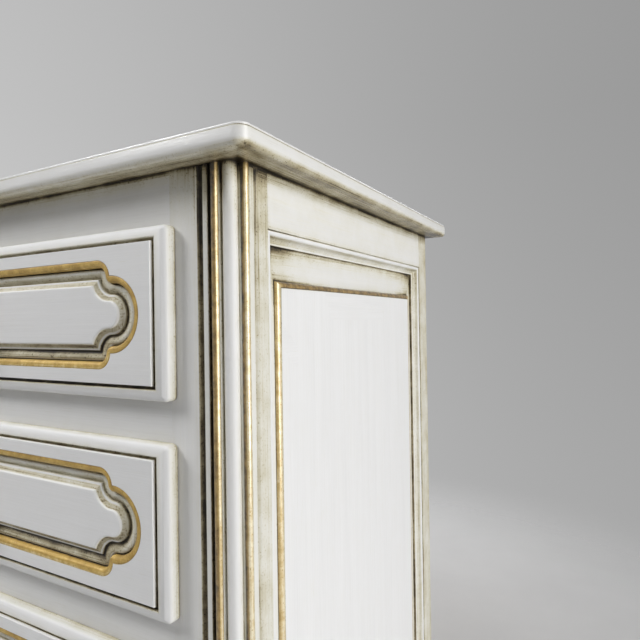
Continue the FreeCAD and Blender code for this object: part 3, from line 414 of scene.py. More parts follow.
def timber(name, axis, light, dark):
    """Bare straight grained wood with year rings and fine pores."""
    made, n, shader = new_material(name)
    place = n.place()
    bend = n.noise(place, 3.0, 2.0, 0.5)
    rings = n.noise(n.stretched(place, grain_scale(axis, 1.3, 42.0)), 1.0, 4.0, 0.55, 0.6)
    fibres = n.noise(n.stretched(place, grain_scale(axis, 24.0, 900.0)), 1.0, 3.0, 0.6)
    pores = n.noise(n.stretched(place, grain_scale(axis, 60.0, 1700.0)), 1.0, 2.0, 0.6)
    shade = n.spread(rings, 0.3, 0.7, 0.0, 0.75)
    shade = n.math("ADD", shade, n.spread(fibres, 0.3, 0.7, 0.0, 0.25))
    shade = n.math("ADD", shade, n.spread(bend, 0.3, 0.7, -0.1, 0.1), clamp=True)
    colour = n.ramp(shade, [(0.0, light), (1.0, dark)])
    pore_mask = n.spread(pores, 0.6, 0.72, 0.0, 0.55)
    deep = tuple(c * 0.45 for c in dark)
    colour = n.mix(pore_mask, colour, (*deep, 1.0))
    n.link(colour, shader.inputs["Base Color"])
    n.link(n.spread(fibres, 0.3, 0.7, 0.48, 0.62), shader.inputs["Roughness"])
    n.bump(shader, n.math("SUBTRACT", fibres, pore_mask), 0.3, 0.0004)
    return made


def aged_brass(name):
    """Cast brass, bright on the crown and brown in the hollows."""
    made, n, shader = new_material(name)
    place = n.place()
    glaze_and_painted_light = n.share("glaze_and_painted_light")
    patches = n.noise(place, 140.0, 5.0, 0.6)
    scratches = n.noise(n.stretched(place, (1400.0, 60.0, 220.0)), 1.0, 2.0, 0.5)
    dark = n.math("ADD", glaze_and_painted_light, n.spread(patches, 0.35, 0.75, 0.0, 0.4), clamp=True)
    stops = [(0.0, (0.78, 0.56, 0.24)), (0.5, (0.46, 0.29, 0.11)), (1.0, (0.07, 0.045, 0.02))]
    n.link(n.ramp(dark, stops), shader.inputs["Base Color"])
    shader.inputs["Metallic"].default_value = 1.0
    rough = n.spread(scratches, 0.3, 0.7, 0.2, 0.32)
    n.link(n.math("ADD", rough, n.math("MULTIPLY", dark, 0.25)), shader.inputs["Roughness"])
    n.bump(shader, patches, 0.15, 0.0003)
    return made


paint_across = paint("paint_grain_across", "X", "Z")
paint_top = paint("paint_on_top", "X", "Y", 0.34)
paint_up = paint("paint_grain_up", "Z", "Y")
paint_back = paint("paint_grain_back", "Y", "Z")
gilt_across = gilding("gilding_across", "X", "Z", MUSTARD, 0.0)
gilt_up = gilding("gilding_up", "Z", "Y", GILT, 1.0)
BEECH = (0.620, 0.450, 0.285), (0.470, 0.315, 0.175)
PINE = (0.660, 0.500, 0.310), (0.500, 0.330, 0.170)
wood_across = timber("wood_grain_across", "X", *PINE)
wood_back = timber("wood_grain_back", "Y", *BEECH)
brass = aged_brass("aged_brass")


# Drawer fronts

# Shaped recess: half its height, the radii of its ears and round ends, and their places
RECESS_TOP = 49.65
RECESS_MARGIN = 13.7
EAR = 17.0
LOBE = 35.0
CUSP_SHIFT = 0.9
LOBE_X = LIP_X - LIP_END - RECESS_MARGIN - LOBE
CUSP_X = LOBE_X - CUSP_SHIFT
CUSP_Z = math.sqrt(LOBE**2 - CUSP_SHIFT**2)
EAR_Z = RECESS_TOP - EAR
EAR_X = CUSP_X - math.sqrt(EAR**2 - (CUSP_Z - EAR_Z) ** 2)
EAR_STEPS, CUSP_STEPS, LOBE_STEPS = 12, 12, 22
# The raised panel stands this much further from the round ends, from one inset to the other.
ISLE_END_GAP, GAP_FROM, GAP_TO = 3.5, 8.0, 16.0
# The glaze and painted shade of the lower run turn into those of the upper run over this
# height to each side, and into those of the round end over this stretch of the drawer's length.
RUN_BLEND = 26.0
END_FROM, END_TO = LOBE_X - 2.0, LOBE_X + 10.0


def bow(cx, cz, radius, start, end, steps):
    """Points on an arc in the plane of the front."""
    made = []
    for i in range(steps + 1):
        turn = math.radians(start + (end - start) * i / steps)
        made.append((cx + radius * math.cos(turn), cz + radius * math.sin(turn)))
    return made


def recess_quarter(inset, gap=0.0):
    """Upper right quarter of the recess outline, moved inwards, always with the same
    number of points. Past the ear's radius the ear shrinks to a sharp corner, and outside
    the outline the cusp is sharp. The gap keeps the end further from the outline."""
    top = RECESS_TOP - inset
    if inset < 0:
        ear_radius, lobe_radius = EAR - inset, LOBE - inset
        apart = math.hypot(LOBE_X - EAR_X, EAR_Z)
        along = (ear_radius**2 - lobe_radius**2 + apart**2) / (2 * apart)
        aside = math.sqrt(ear_radius**2 - along**2)
        ux, uz = (LOBE_X - EAR_X) / apart, -EAR_Z / apart
        cusp = (EAR_X + ux * along - uz * aside, EAR_Z + uz * along + ux * aside)
        ear_end = math.degrees(math.atan2(cusp[1] - EAR_Z, cusp[0] - EAR_X))
        lobe_start = math.degrees(math.atan2(cusp[1], cusp[0] - LOBE_X))
        ear = bow(EAR_X, EAR_Z, ear_radius, 90.0, ear_end, EAR_STEPS)
        lobe = bow(LOBE_X, 0.0, lobe_radius, lobe_start, 0.0, LOBE_STEPS)
        return [(0.0, top)] + ear + [cusp] * (CUSP_STEPS + 1) + lobe
    ear_end = math.degrees(math.atan2(CUSP_Z - EAR_Z, CUSP_X - EAR_X))
    fan_end = 360.0 + math.degrees(math.atan2(-CUSP_Z, LOBE_X - CUSP_X))
    if inset < EAR:
        ear = bow(EAR_X, EAR_Z, EAR - inset, 90.0, ear_end, EAR_STEPS)
        fan_start = 180.0 + ear_end
    else:
        drop = CUSP_Z - top
        reach = math.sqrt(inset**2 - drop**2)
        ear = [(CUSP_X - reach, top)] * (EAR_STEPS + 1)
        fan_start = 180.0 + math.degrees(math.atan2(drop, reach))
    fan = bow(CUSP_X, CUSP_Z, inset, fan_start, fan_end, CUSP_STEPS)
    lobe_start = math.degrees(math.atan2(CUSP_Z, CUSP_X - LOBE_X))
    lobe = bow(LOBE_X, 0.0, LOBE - inset, lobe_start, 0.0, LOBE_STEPS)
    return [(0.0, top)] + [(x - gap, z) for x, z in ear + fan + lobe]


def all_round(quarter):
    """The closed loop from its upper right quarter."""
    right = quarter + [(x, -z) for x, z in reversed(quarter[:-1])]
    left = [(-x, z) for x, z in reversed(right[1:-1])]
    return right + left


def field_quarter(half_x, half_z):
    """Points on the edge of the field that face the points of the recess."""
    count = EAR_STEPS + 1 + CUSP_STEPS + 1 + LOBE_STEPS + 1
    made = [(0.0, half_z)]
    across = half_x - EAR_X
    total = across + half_z
    corner = round((count - 1) * across / total)
    for i in range(count):
        if i <= corner:
            made.append((EAR_X + across * i / corner, half_z))
        else:
            made.append((half_x, half_z * (count - 1 - i) / (count - 1 - corner)))
    return made


# A point is (inset, height, glaze on the upper run, on the lower run). Where the runs differ,
# the difference is painted shade: more in the quirk and on the outer face of the lower run,
# which turn down, and a little more on the slope of the upper run.
LIP_PROFILE = (
    [(7.9, -12.0, 0.0, 0.0), (7.9, 0.3, 0.2, 0.2), (0.4, 0.3, 0.6, 0.9), (0.05, 0.7, 0.45, 0.8)]
    + [(0.0, 1.5, 0.34, 0.45), (0.0, 3.0, 0.24, 0.25), (0.0, 5.0, 0.18, 0.18)]
    + [(0.02, 7.0, 0.16, 0.14), (0.12, 8.4, 0.12, 0.10), (0.4, 9.4, 0.08, 0.06)]
    + [(0.9, 10.2, 0.03, 0.02), (1.6, 10.9, 0.0, 0.0), (2.6, 11.5, 0.0, 0.0)]
    + [(4.2, 12.2, 0.02, 0.0), (5.8, 12.75, 0.04, 0.01), (7.4, 13.2, 0.07, 0.03)]
    + [(8.6, 13.5, 0.11, 0.06), (9.3, 13.66, 0.15, 0.12), (9.7, 13.7, 0.19, 0.22)]
    + [(10.1, 13.5, 0.24, 0.40), (10.4, 12.8, 0.30, 0.7), (10.7, 11.2, 0.40, 0.95)]
    + [(11.2, 10.3, 0.50, 1.0), (12.5, 10.2, 0.60, 1.0), (13.0, 10.7, 0.70, 0.98)]
    + [(13.15, 11.8, 0.66, 0.93), (13.25, 12.3, 0.12, 0.3), (13.3, 12.9, 0.02, 0.06)]
    + [(13.4, 14.0, 0.0, 0.02), (13.55, 14.6, 0.0, 0.0), (13.8, 14.85, 0.0, 0.0)]
    + [(14.2, 14.9, 0.0, 0.0), (14.7, 14.9, 0.0, 0.0)]
)
# Radius of the outer corners
LIP_CORNER, LIP_CORNER_STEPS = 4.5, 6

# A point is (inset, height, glaze on the upper run, on the lower run, at the round end).
# Where these differ, the difference is painted light: more glaze, as painted shade, on the
# faces that lie in shade, and less on the faces turned to the lamps.
RECESS_PROFILE = (
    [(-0.9, 14.9, 0.0, 0.0, 0.0), (-0.15, 14.87, 0.06, 0.03, 0.06), (0.1, 14.5, 0.3, 0.2, 0.3)]
    + [(0.12, 8.3, 1.0, 1.0, 1.0), (6.6, 8.3, 1.0, 1.0, 1.0), (7.0, 8.0, 1.0, 0.9, 1.0)]
    + [(7.5, 8.4, 0.90, 0.12, 0.8), (7.9, 9.5, 0.34, 0.0, 0.50), (8.5, 10.2, 0.24, 0.10, 0.38)]
    + [(9.3, 10.6, 0.20, 0.50, 0.27), (10.4, 10.7, 0.20, 0.44, 0.23)]
    + [(11.6, 10.4, 0.24, 0.44, 0.25), (12.9, 9.8, 0.32, 0.54, 0.33), (14.2, 8.9, 0.42, 0.66, 0.6)]
    + [(14.9, 8.3, 0.45, 0.85, 0.9), (15.7, 7.8, 0.46, 1.0, 1.0), (16.4, 7.4, 0.46, 1.0, 1.0)]
    + [(16.8, 7.8, 0.34, 1.0, 1.0), (17.0, 8.8, 0.16, 0.6, 0.7), (17.2, 9.5, 0.04, 0.2, 0.5)]
    + [(17.6, 9.85, 0.0, 0.05, 0.42), (18.3, 10.05, 0.02, 0.05, 0.40)]
    + [(18.9, 10.2, 0.24, 0.28, 0.42), (19.4, 10.6, 0.35, 0.51, 0.44)]
    + [(20.8, 11.4, 0.33, 0.53, 0.40), (21.8, 12.0, 0.34, 0.57, 0.36)]
    + [(22.4, 12.5, 0.20, 0.46, 0.22), (22.6, 12.9, 0.03, 0.16, 0.02), (22.9, 13.6, 0.0, 0.04, 0.0)]
    + [(23.4, 14.2, 0.0, 0.0, 0.0), (24.1, 14.4, 0.0, 0.0, 0.0), (24.9, 14.42, 0.0, 0.0, 0.0)]
    + [(26.5, 14.4, 0.0, 0.0, 0.0)]
)

# A point is (inset, height, glaze on the upper run, on the lower run, at the round end). Where
# these differ, it is painted light: the lower run, which faces up, is paler, and the upper run and
# the round ends darker.
GILT_PROFILE = (
    [(0.14, 8.4, 1.0, 1.0, 1.0), (0.14, 14.2, 0.6, 0.4, 0.5), (0.3, 14.6, 0.44, 0.16, 0.36)]
    + [(0.7, 14.88, 0.34, 0.08, 0.24), (1.4, 15.0, 0.26, 0.05, 0.20), (2.5, 15.0, 0.22, 0.10, 0.22)]
    + [(3.5, 14.92, 0.18, 0.20, 0.26), (4.4, 14.7, 0.16, 0.22, 0.30)]
    + [(5.2, 14.25, 0.17, 0.20, 0.34), (5.9, 13.5, 0.20, 0.18, 0.40), (6.35, 12.6, 0.24, 0.16, 0.4)]
    + [(6.65, 11.6, 0.20, 0.18, 0.4), (6.8, 10.6, 0.16, 0.4, 0.6), (6.85, 9.8, 0.7, 0.9, 1.0)]
    + [(6.85, 8.4, 1.0, 1.0, 1.0)]
)


def lip_loop(inset):
    """Outline of the lip, moved inwards, with round outer corners and sharp mitres."""
    wider = LIP_END / LIP_SIDE
    radius = max(LIP_CORNER - inset, 0.0)
    x = LIP_X - (inset + radius) * wider
    z = LIP_Z - inset - radius
    quarter = bow(0.0, 0.0, radius, 90.0, 0.0, LIP_CORNER_STEPS)
    corner = [(x + px * wider, z + pz) for px, pz in quarter]
    right = corner + [(px, -pz) for px, pz in reversed(corner)]
    return right + [(-px, pz) for px, pz in reversed(right)]


def corner_toward(loop, aim):
    """Index of the corner of a rectangular loop that lies in one direction."""
    return max(range(len(loop)), key=lambda i: loop[i][0] * aim[0] + loop[i][1] * aim[1])


def flat_border(skin, outer, outer_loop, inner, inner_loop):
    """Joins two nested rectangles by one face for each side, so that every point is shared."""
    turns = sorted(corner_toward(inner_loop, (x, z)) for x in (1, -1) for z in (1, -1))
    count = len(inner)
    for a, b in zip(turns, turns[1:] + turns[:1]):
        side = [inner[(a + i) % count] for i in range((b - a) % count + 1)]
        skin.face(side + [outer[corner_toward(outer_loop, inner_loop[i])] for i in (b, a)])


def drawer_front(number, centre):
    """The painted front with its lip and recess, and the gilded moulding in the recess."""
    body = f"drawer_{number}"

    def lay(skin, loop, proud, upper, lower, end=None):
        """Adds a loop in front of the frame, with glaze and painted light set by where its points
        lie.
        """
        ring = []
        for x, z in loop:
            share = between(z, -RUN_BLEND, RUN_BLEND)
            glaze_and_painted_light = upper * share + lower * (1.0 - share)
            if end is not None:
                glaze_and_painted_light += (end - glaze_and_painted_light) * between(abs(x), END_FROM, END_TO)
            ring.append(skin.point((x, FRONT - proud, centre + z), glaze_and_painted_light))
        return ring

    skin = Skin()
    ring = lay(skin, lip_loop(LIP_PROFILE[0][0]), *LIP_PROFILE[0][1:])
    skin.cap(ring)
    for inset, *levels in LIP_PROFILE[1:-1]:
        following = lay(skin, lip_loop(inset), *levels)
        skin.strip(ring, following)
        ring = following
    field, *levels = LIP_PROFILE[-1]
    loop = all_round(field_quarter(LIP_X - field * LIP_END / LIP_SIDE, LIP_Z - field))
    following = lay(skin, loop, *levels)
    flat_border(skin, ring, lip_loop(LIP_PROFILE[-2][0]), following, loop)
    ring = following
    for inset, *levels in RECESS_PROFILE:
        gap = ISLE_END_GAP * between(inset, GAP_FROM, GAP_TO)
        following = lay(skin, all_round(recess_quarter(inset, gap)), *levels)
        skin.strip(ring, following, 0 if inset < 0 else None)
        ring = following
    skin.cap(ring, 0)
    finish_mesh(
        skin, f"{body}_front_painted", paint_across, body, [f"{body}_front"], 19.0,
    )

    gilt = Skin()
    first = ring = lay(gilt, all_round(recess_quarter(GILT_PROFILE[0][0])), *GILT_PROFILE[0][1:])
    for inset, *levels in GILT_PROFILE[1:]:
        following = lay(gilt, all_round(recess_quarter(inset)), *levels)
        gilt.strip(ring, following)
        ring = following
    gilt.strip(ring, first)
    finish_mesh(
        gilt, f"{body}_recess_gilding", gilt_across, body, [f"{body}_gilt_moulding"],
        30.0,
    )


# A point is (radius, distance behind the face of the raised panel, glaze).
KNOB_PROFILE = (
    [(2.4, 20.0, 0.3), (2.4, 0.0, 0.6), (14.4, 0.0, 0.9), (15.0, -0.4, 0.5), (15.0, -1.3, 0.2)]
    + [(14.2, -2.0, 0.1), (13.0, -2.1, 0.7), (12.4, -2.3, 0.8), (11.6, -2.9, 0.2)]
    + [(10.4, -3.2, 0.1), (8.2, -3.7, 0.3), (6.6, -5.0, 0.5), (5.7, -7.0, 0.6), (5.5, -9.4, 0.5)]
    + [(6.4, -11.6, 0.6), (8.4, -13.4, 0.6), (10.4, -14.8, 0.4), (11.0, -15.2, 0.8)]
    + [(11.4, -15.4, 0.3), (12.2, -16.2, 0.15), (12.8, -18.0, 0.1), (13.0, -20.6, 0.05)]
    + [(12.7, -22.6, 0.0), (11.8, -24.8, 0.0), (10.3, -26.8, 0.0), (8.4, -28.3, 0.0)]
    + [(5.9, -29.4, 0.0), (3.2, -29.9, 0.0), (0.01, -30.0, 0.0)]
)


KNOB_STEPS, FOOT_STEPS = 40, 56


def lathe(skin, profile, place, steps):
    """Turns a profile about an axis. Place gives the point for radius, turn and level."""
    rings = []
    for radius, level, glaze_and_painted_light in profile:
        loop = [place(radius, 2 * math.pi * i / steps, level) for i in range(steps)]
        rings.append(skin.ring(loop, glaze_and_painted_light))
    skin.closed(rings)


def drawer_knobs(number, centre):
    body = f"drawer_{number}"
    skin = Skin()
    for middle in (-KNOB_SPREAD, KNOB_SPREAD):
        def place(radius, turn, level, middle=middle):
            x = middle + radius * math.cos(turn)
            return (x, FRONT - ISLE_PROUD + level, centre + radius * math.sin(turn))

        lathe(skin, KNOB_PROFILE, place, KNOB_STEPS)
    finish_mesh(skin, f"{body}_knobs_turned", brass, body, [f"{body}_knobs"], 40.0)


# Corner posts

# A point is (distance from the corner along the front, depth, glaze).
POST_PROFILE = (
    [(72.0, 22.0, 0.0), (72.0, 0.08, 0.1), (71.92, 0.0, 0.04), (70.5, 0.0, 0.03)]
    + [(60.0, 0.0, 0.02), (46.0, 0.0, 0.04), (43.4, 0.0, 0.10), (42.6, 0.0, 0.05)]
    + [(42.0, 0.05, 0.03), (41.5, 0.3, 0.10), (41.1, 0.7, 0.62), (40.6, 1.3, 0.74)]
    + [(39.7, 2.6, 0.82), (39.2, 3.0, 0.86), (35.2, 3.0, 0.92), (35.1, 0.9, 0.7)]
    + [(35.0, 0.35, 0.22), (34.6, 0.05, 0.08), (34.0, 0.0, 0.08), (31.0, 0.0, 0.10)]
    + [(30.1, 0.05, 0.12), (29.75, 0.35, 0.25), (29.6, 1.0, 0.8), (29.6, 3.2, 1.0)]
    + [(24.0, 3.6, 0.7), (20.4, 3.0, 0.36), (19.6, 1.9, 0.17), (19.1, 1.6, 0.12), (18.6, 1.9, 0.18)]
    + [(18.1, 3.2, 0.34)]
    + arc(12.1, 8.0, 6.5, -30.0, -60.0, 0.38, 0.12, 7.5)
    + arc(12.1, 8.0, 6.5, -67.0, -150.0, 0.03, 0.02, 7.6)
    + arc(12.1, 8.0, 6.5, -158.0, -188.0, 0.04, 0.14, 7.5)
    + arc(12.1, 8.0, 6.4, -196.0, -225.0, 0.20, 0.30, 7.5)
    + [(6.9, 12.0, 0.22), (5.6, 11.7, 0.16), (4.6, 11.8, 0.20), (4.0, 12.6, 0.34), (3.7, 17.9, 0.8)]
    + [(0.7, 18.0, 0.5), (0.2, 18.2, 0.2), (0.0, 18.6, 0.12), (0.0, 21.4, 0.10), (0.0, 23.9, 0.16)]
    + [(0.15, 24.4, 0.3), (0.8, 24.6, 0.62), (2.9, 24.7, 0.72), (3.0, 25.4, 0.52)]
    + [(2.6, 27.2, 0.36), (1.3, 28.7, 0.30), (0.35, 29.8, 0.26), (0.0, 30.7, 0.24)]
    + [(0.0, 36.0, 0.22), (0.0, 43.6, 0.20), (0.12, 44.5, 0.20), (0.4, 44.6, 0.3)]
    + [(40.0, 44.6, 0.0), (40.0, 22.0, 0.0)]
)


def along_post(skin, profile, side, cuts):
    """Runs a plan profile up the chest, with more glaze in the hollows towards both ends, and
    painted shade under the top.
    """
    rings = []
    for level, extra in cuts:
        ring = []
        for back, deep, glaze_and_painted_light in profile:
            share = glaze_and_painted_light + extra * (0.35 + 1.9 * glaze_and_painted_light)
            ring.append(skin.point((side * (HALF - back), FRONT + deep, level), min(1.0, share)))
        rings.append(ring)
    skin.closed(rings)


# A cut is (level, further glaze); under the top the further glaze is partly painted shade.
POST_CUTS = [
    (BASE_TOP, 1.0), (BASE_TOP + 1.2, 0.6), (BASE_TOP + 5.0, 0.34), (BASE_TOP + 16.0, 0.16),
    (BASE_TOP + 50.0, 0.0), (TOP - 110.0, 0.0), (TOP - 60.0, 0.10), (TOP - 34.0, 0.22),
    (TOP - 17.0, 0.36), (TOP - 8.0, 0.55), (TOP - 3.0, 0.9), (TOP - 1.2, 1.4), (TOP, 1.8),
]


def front_bead(back, deep, radius):
    """Half round bead on the front, with flanks that go down into its seat."""
    inner, outer = back + radius, back - radius
    # The glaze is heavy over the front and the side away from the corner, as painted shade, and nil
    # on the side towards the corner, where the pale gilt paints a highlight.
    return (
        [(inner, deep + 2.2, 1.0), (inner, deep + 0.9, 0.7)]
        + arc(back, deep, radius, 0.0, -126.0, 0.64, 0.46)
        + arc(back, deep, radius, -135.0, -180.0, 0.12, 0.0)
        + [(outer, deep + 0.9, 0.3), (outer, deep + 2.2, 0.8)]
    )


def side_bead(back, deep, radius):
    """Half round bead on the side, with flanks that go back into its seat."""
    front, rear = deep - radius, deep + radius
    # The glaze leaves the crown bare, where the pale gilt paints a highlight, and darkens both
    # flanks as painted shade.
    return (
        [(back + 2.3, front, 0.8), (back + 0.9, front, 0.6)]
        + arc(back, deep, radius, -90.0, -108.0, 0.46, 0.10)
        + arc(back, deep, radius, -117.0, -207.0, 0.0, 0.04)
        + arc(back, deep, radius, -216.0, -270.0, 0.16, 0.46)
        + [(back + 0.9, rear, 0.6), (back + 2.3, rear, 1.0)]
    )


def corner_post(side, hand):
    skin = Skin()
    along_post(skin, POST_PROFILE, side, POST_CUTS)
    finish_mesh(
        skin, f"corner_column_{hand}", paint_up, "carcass", [f"front_post_{hand}"],
    )
    skin = Skin()
    cuts = [(z, 0.5 * extra) for z, extra in POST_CUTS]
    along_post(skin, front_bead(22.75, 1.1, 3.2), side, cuts)
    along_post(skin, side_bead(1.75, 14.8, 3.1), side, cuts)
    finish_mesh(
        skin, f"corner_gilding_{hand}", gilt_up, "carcass", [f"corner_gilt_beads_{hand}"],
    )


# Boards with eased edges, and with glaze and painted shade that follow a rule

def board(name, low, high, cuts, glaze_and_painted_light, material, nodes, ease):
    """A box with points at its cuts, where the glaze and painted shade are worked out from the
    place.
    """
    skin = Skin()
    axes = []
    for axis in range(3):
        inner = sorted(c for c in cuts[axis] if low[axis] < c < high[axis])
        axes.append([low[axis], *inner, high[axis]])
    index = {}

    def at(i, j, k):
        if (i, j, k) not in index:
            place = (axes[0][i], axes[1][j], axes[2][k])
            index[(i, j, k)] = skin.point(place, max(0.0, min(1.0, glaze_and_painted_light(*place))))
        return index[(i, j, k)]

    last = [len(a) - 1 for a in axes]
    for j in range(last[1]):
        for k in range(last[2]):
            for i in (0, last[0]):
                skin.face((at(i, j, k), at(i, j + 1, k), at(i, j + 1, k + 1), at(i, j, k + 1)), 0)
    for i in range(last[0]):
        for k in range(last[2]):
            for j in (0, last[1]):
                skin.face((at(i, j, k), at(i + 1, j, k), at(i + 1, j, k + 1), at(i, j, k + 1)), 0)
    for i in range(last[0]):
        for j in range(last[1]):
            for k in (0, last[2]):
                skin.face((at(i, j, k), at(i + 1, j, k), at(i + 1, j + 1, k), at(i, j + 1, k)), 0)
    finish_mesh(skin, name, material, "carcass", nodes, 30.0, ease)


def near(distance, reach, most):
    """Glaze and painted shade that fade away from an edge."""
    if distance >= reach:
        return 0.0
    return most * (1.0 - distance / reach) ** 1.6


def front_rails():
    edges = [("front_top_rail", CENTRES[0] + OPEN_Z, TOP)]
    for i in range(1, 4):
        edges.append((f"drawer_rail_{i}", CENTRES[i] + OPEN_Z, CENTRES[i - 1] - OPEN_Z))
    edges.append(("front_bottom_rail", BASE_TOP, CENTRES[3] - OPEN_Z))
    for name, low, high in edges:
        def glaze_and_painted_light(x, y, z, name=name, low=low, high=high):
            # The top rail gets glaze and painted shade under the overhang of the top, with a dark
            # joint line against it; the bottom rail grows darker towards the base.
            share = 0.01
            if name == "front_top_rail":
                share += near(high - z, 18.0, 0.34) + near(high - z, 3.4, 1.2)
            if name == "front_bottom_rail":
                share += near(z - low, 12.0, 0.3) + near(z - low, 2.0, 0.5)
            return share

        z_cuts = [low + c for c in (1, 2, 6, 12)] + [high - c for c in (14, 8, 4, 2, 1)]
        board(
            f"{name}_painted", (-OPEN_X, FRONT, low), (OPEN_X, FRONT + FRAME_THICK, high),
            ([], [], z_cuts), glaze_and_painted_light, paint_across, [name], ease=0.1,
        )


def side_frame(side, hand):
    y0, y1, z0, z1 = PANEL

    def span(thick):
        return sorted((side * (HALF - thick), side * HALF))

    x_low, x_high = span(SIDE_THICK)
    for name, low, high in (("side_top_rail", z1, TOP), ("side_bottom_rail", BASE_TOP, z0)):
        def glaze_and_painted_light(x, y, z, name=name, low=low, high=high):
            # The top rail gets glaze and painted shade under the overhang of the top, with a dark
            # joint line against it; the bottom rail grows darker towards the base, and both near
            # the front post.
            share = near(y - y0, 5.0, 0.12) + 0.08
            if name == "side_top_rail":
                share += near(high - z, 16.0, 0.50) + near(high - z, 3.0, 0.7)
                share += near(z - low, 6.0, 0.16)
            else:
                share += near(z - low, 13.0, 0.4) + near(z - low, 1.6, 0.55)
                share += near(high - z, 6.0, 0.16)
            return share

        z_cuts = [low + c for c in (0.8, 1.6, 3, 6, 13)]
        z_cuts += [high - c for c in (13, 8, 5, 3, 1.6, 0.8)]
        board(
            f"{name}_{hand}_painted", (x_low, y0, low), (x_high, y1, high),
            ([], [y0 + 1, y0 + 5], z_cuts), glaze_and_painted_light, paint_back, [f"{name}_{hand}"], ease=0.12,
        )

    def rear_post_glaze_and_shade(x, y, z):
        # Glaze and painted shade under the overhang of the top, with a dark joint line against it,
        # and darker towards the base, by the panel and by the rear edge.
        share = 0.24 + near(TOP - z, 16.0, 0.46) + near(TOP - z, 3.0, 0.7)
        if z0 < z < z1:
            share += near(y - y1, 6.0, 0.2)
        return share + near(z - BASE_TOP, 13.0, 0.4) + near(REAR - y, 12.0, 0.12)

    x_low, x_high = span(POST_CORE)
    z_cuts = [BASE_TOP + c for c in (0.8, 1.6, 6, 13)] + [TOP - c for c in (13, 8, 5, 3, 1.6, 0.8)]
    z_cuts += [z0 - 0.1, z0 + 0.1, z1 - 0.1, z1 + 0.1]
    y_cuts = [y1 + c for c in (1, 3, 6)] + [REAR - c for c in (12, 4, 1)]
    board(
        f"rear_post_{hand}_painted", (x_low, y1, BASE_TOP), (x_high, REAR, TOP),
        ([], y_cuts, z_cuts), rear_post_glaze_and_shade, paint_up, [f"rear_post_{hand}"], ease=0.3,
    )


# Side panel, its moulding and its gilded frame

# A point is (inset, depth behind the frame face, glaze).
STICK_PROFILE = (
    [(0.05, 12.0, 1.0), (0.05, 1.8, 0.9), (0.35, 1.5, 0.72), (0.7, 1.25, 0.46), (1.0, 0.95, 0.20)]
    + [(1.5, 0.6, 0.05), (2.3, 0.5, 0.0), (3.4, 0.6, 0.0), (4.3, 0.95, 0.04), (4.9, 1.5, 0.14)]
    + [(5.4, 2.3, 0.26), (5.8, 3.3, 0.32), (6.2, 4.3, 0.32), (6.8, 5.3, 0.28), (7.6, 6.2, 0.24)]
    + [(8.5, 7.0, 0.24), (9.4, 7.6, 0.26), (10.2, 7.95, 0.24), (10.6, 8.05, 0.14)]
    + [(11.5, 8.2, 0.10), (11.95, 8.5, 0.2), (12.15, 9.3, 0.8), (12.2, 12.0, 1.0)]
)

# Width of the moulding, insets of the gilded frame at the sides and at the top and bottom,
# and the depths of the panel's margin and of its field
STICK_WIDE = 12.2
TRIM_SIDE, TRIM_LEVEL = 25.3, 44.0
MARGIN_DEEP, FIELD_DEEP = 12.0, 7.6

# Places of the points along each run, and the reach of the glaze that gathers at its ends
STOPS = (0.0, 0.02, 0.05, 0.09, 0.15, 0.25, 0.4, 0.6, 0.75, 0.85, 0.91, 0.95, 0.98)
GATHER_REACH = 26.0


def framed(skin, side, profile, gather=0.0, level_painted_shade=0.0):
    """Rectangular rings on the side of the chest, with more glaze near their corners, and
    a share more of painted shade along the level runs. A point is (inset at the sides, inset at
    the top and bottom, depth, glaze)."""
    rings = []
    y0, y1, z0, z1 = PANEL
    for ty, tz, deep, glaze_and_painted_light in profile:
        x = side * (HALF - deep)
        ends = [(y0 + ty, z1 - tz), (y1 - ty, z1 - tz), (y1 - ty, z0 + tz), (y0 + ty, z0 + tz)]
        ring = []
        for (ya, za), (yb, zb) in zip(ends, ends[1:] + ends[:1]):
            length = math.hypot(yb - ya, zb - za)
            for stop in STOPS:
                corner = math.exp(-length * min(stop, 1.0 - stop) / GATHER_REACH)
                share = glaze_and_painted_light * (1.0 - 0.45 * gather + 1.9 * gather * corner)
                if za == zb and stop:
                    share += level_painted_shade
                place = (x, ya + (yb - ya) * stop, za + (zb - za) * stop)
                ring.append(skin.point(place, min(1.0, share)))
        rings.append(ring)
    skin.loft(rings)
    return rings


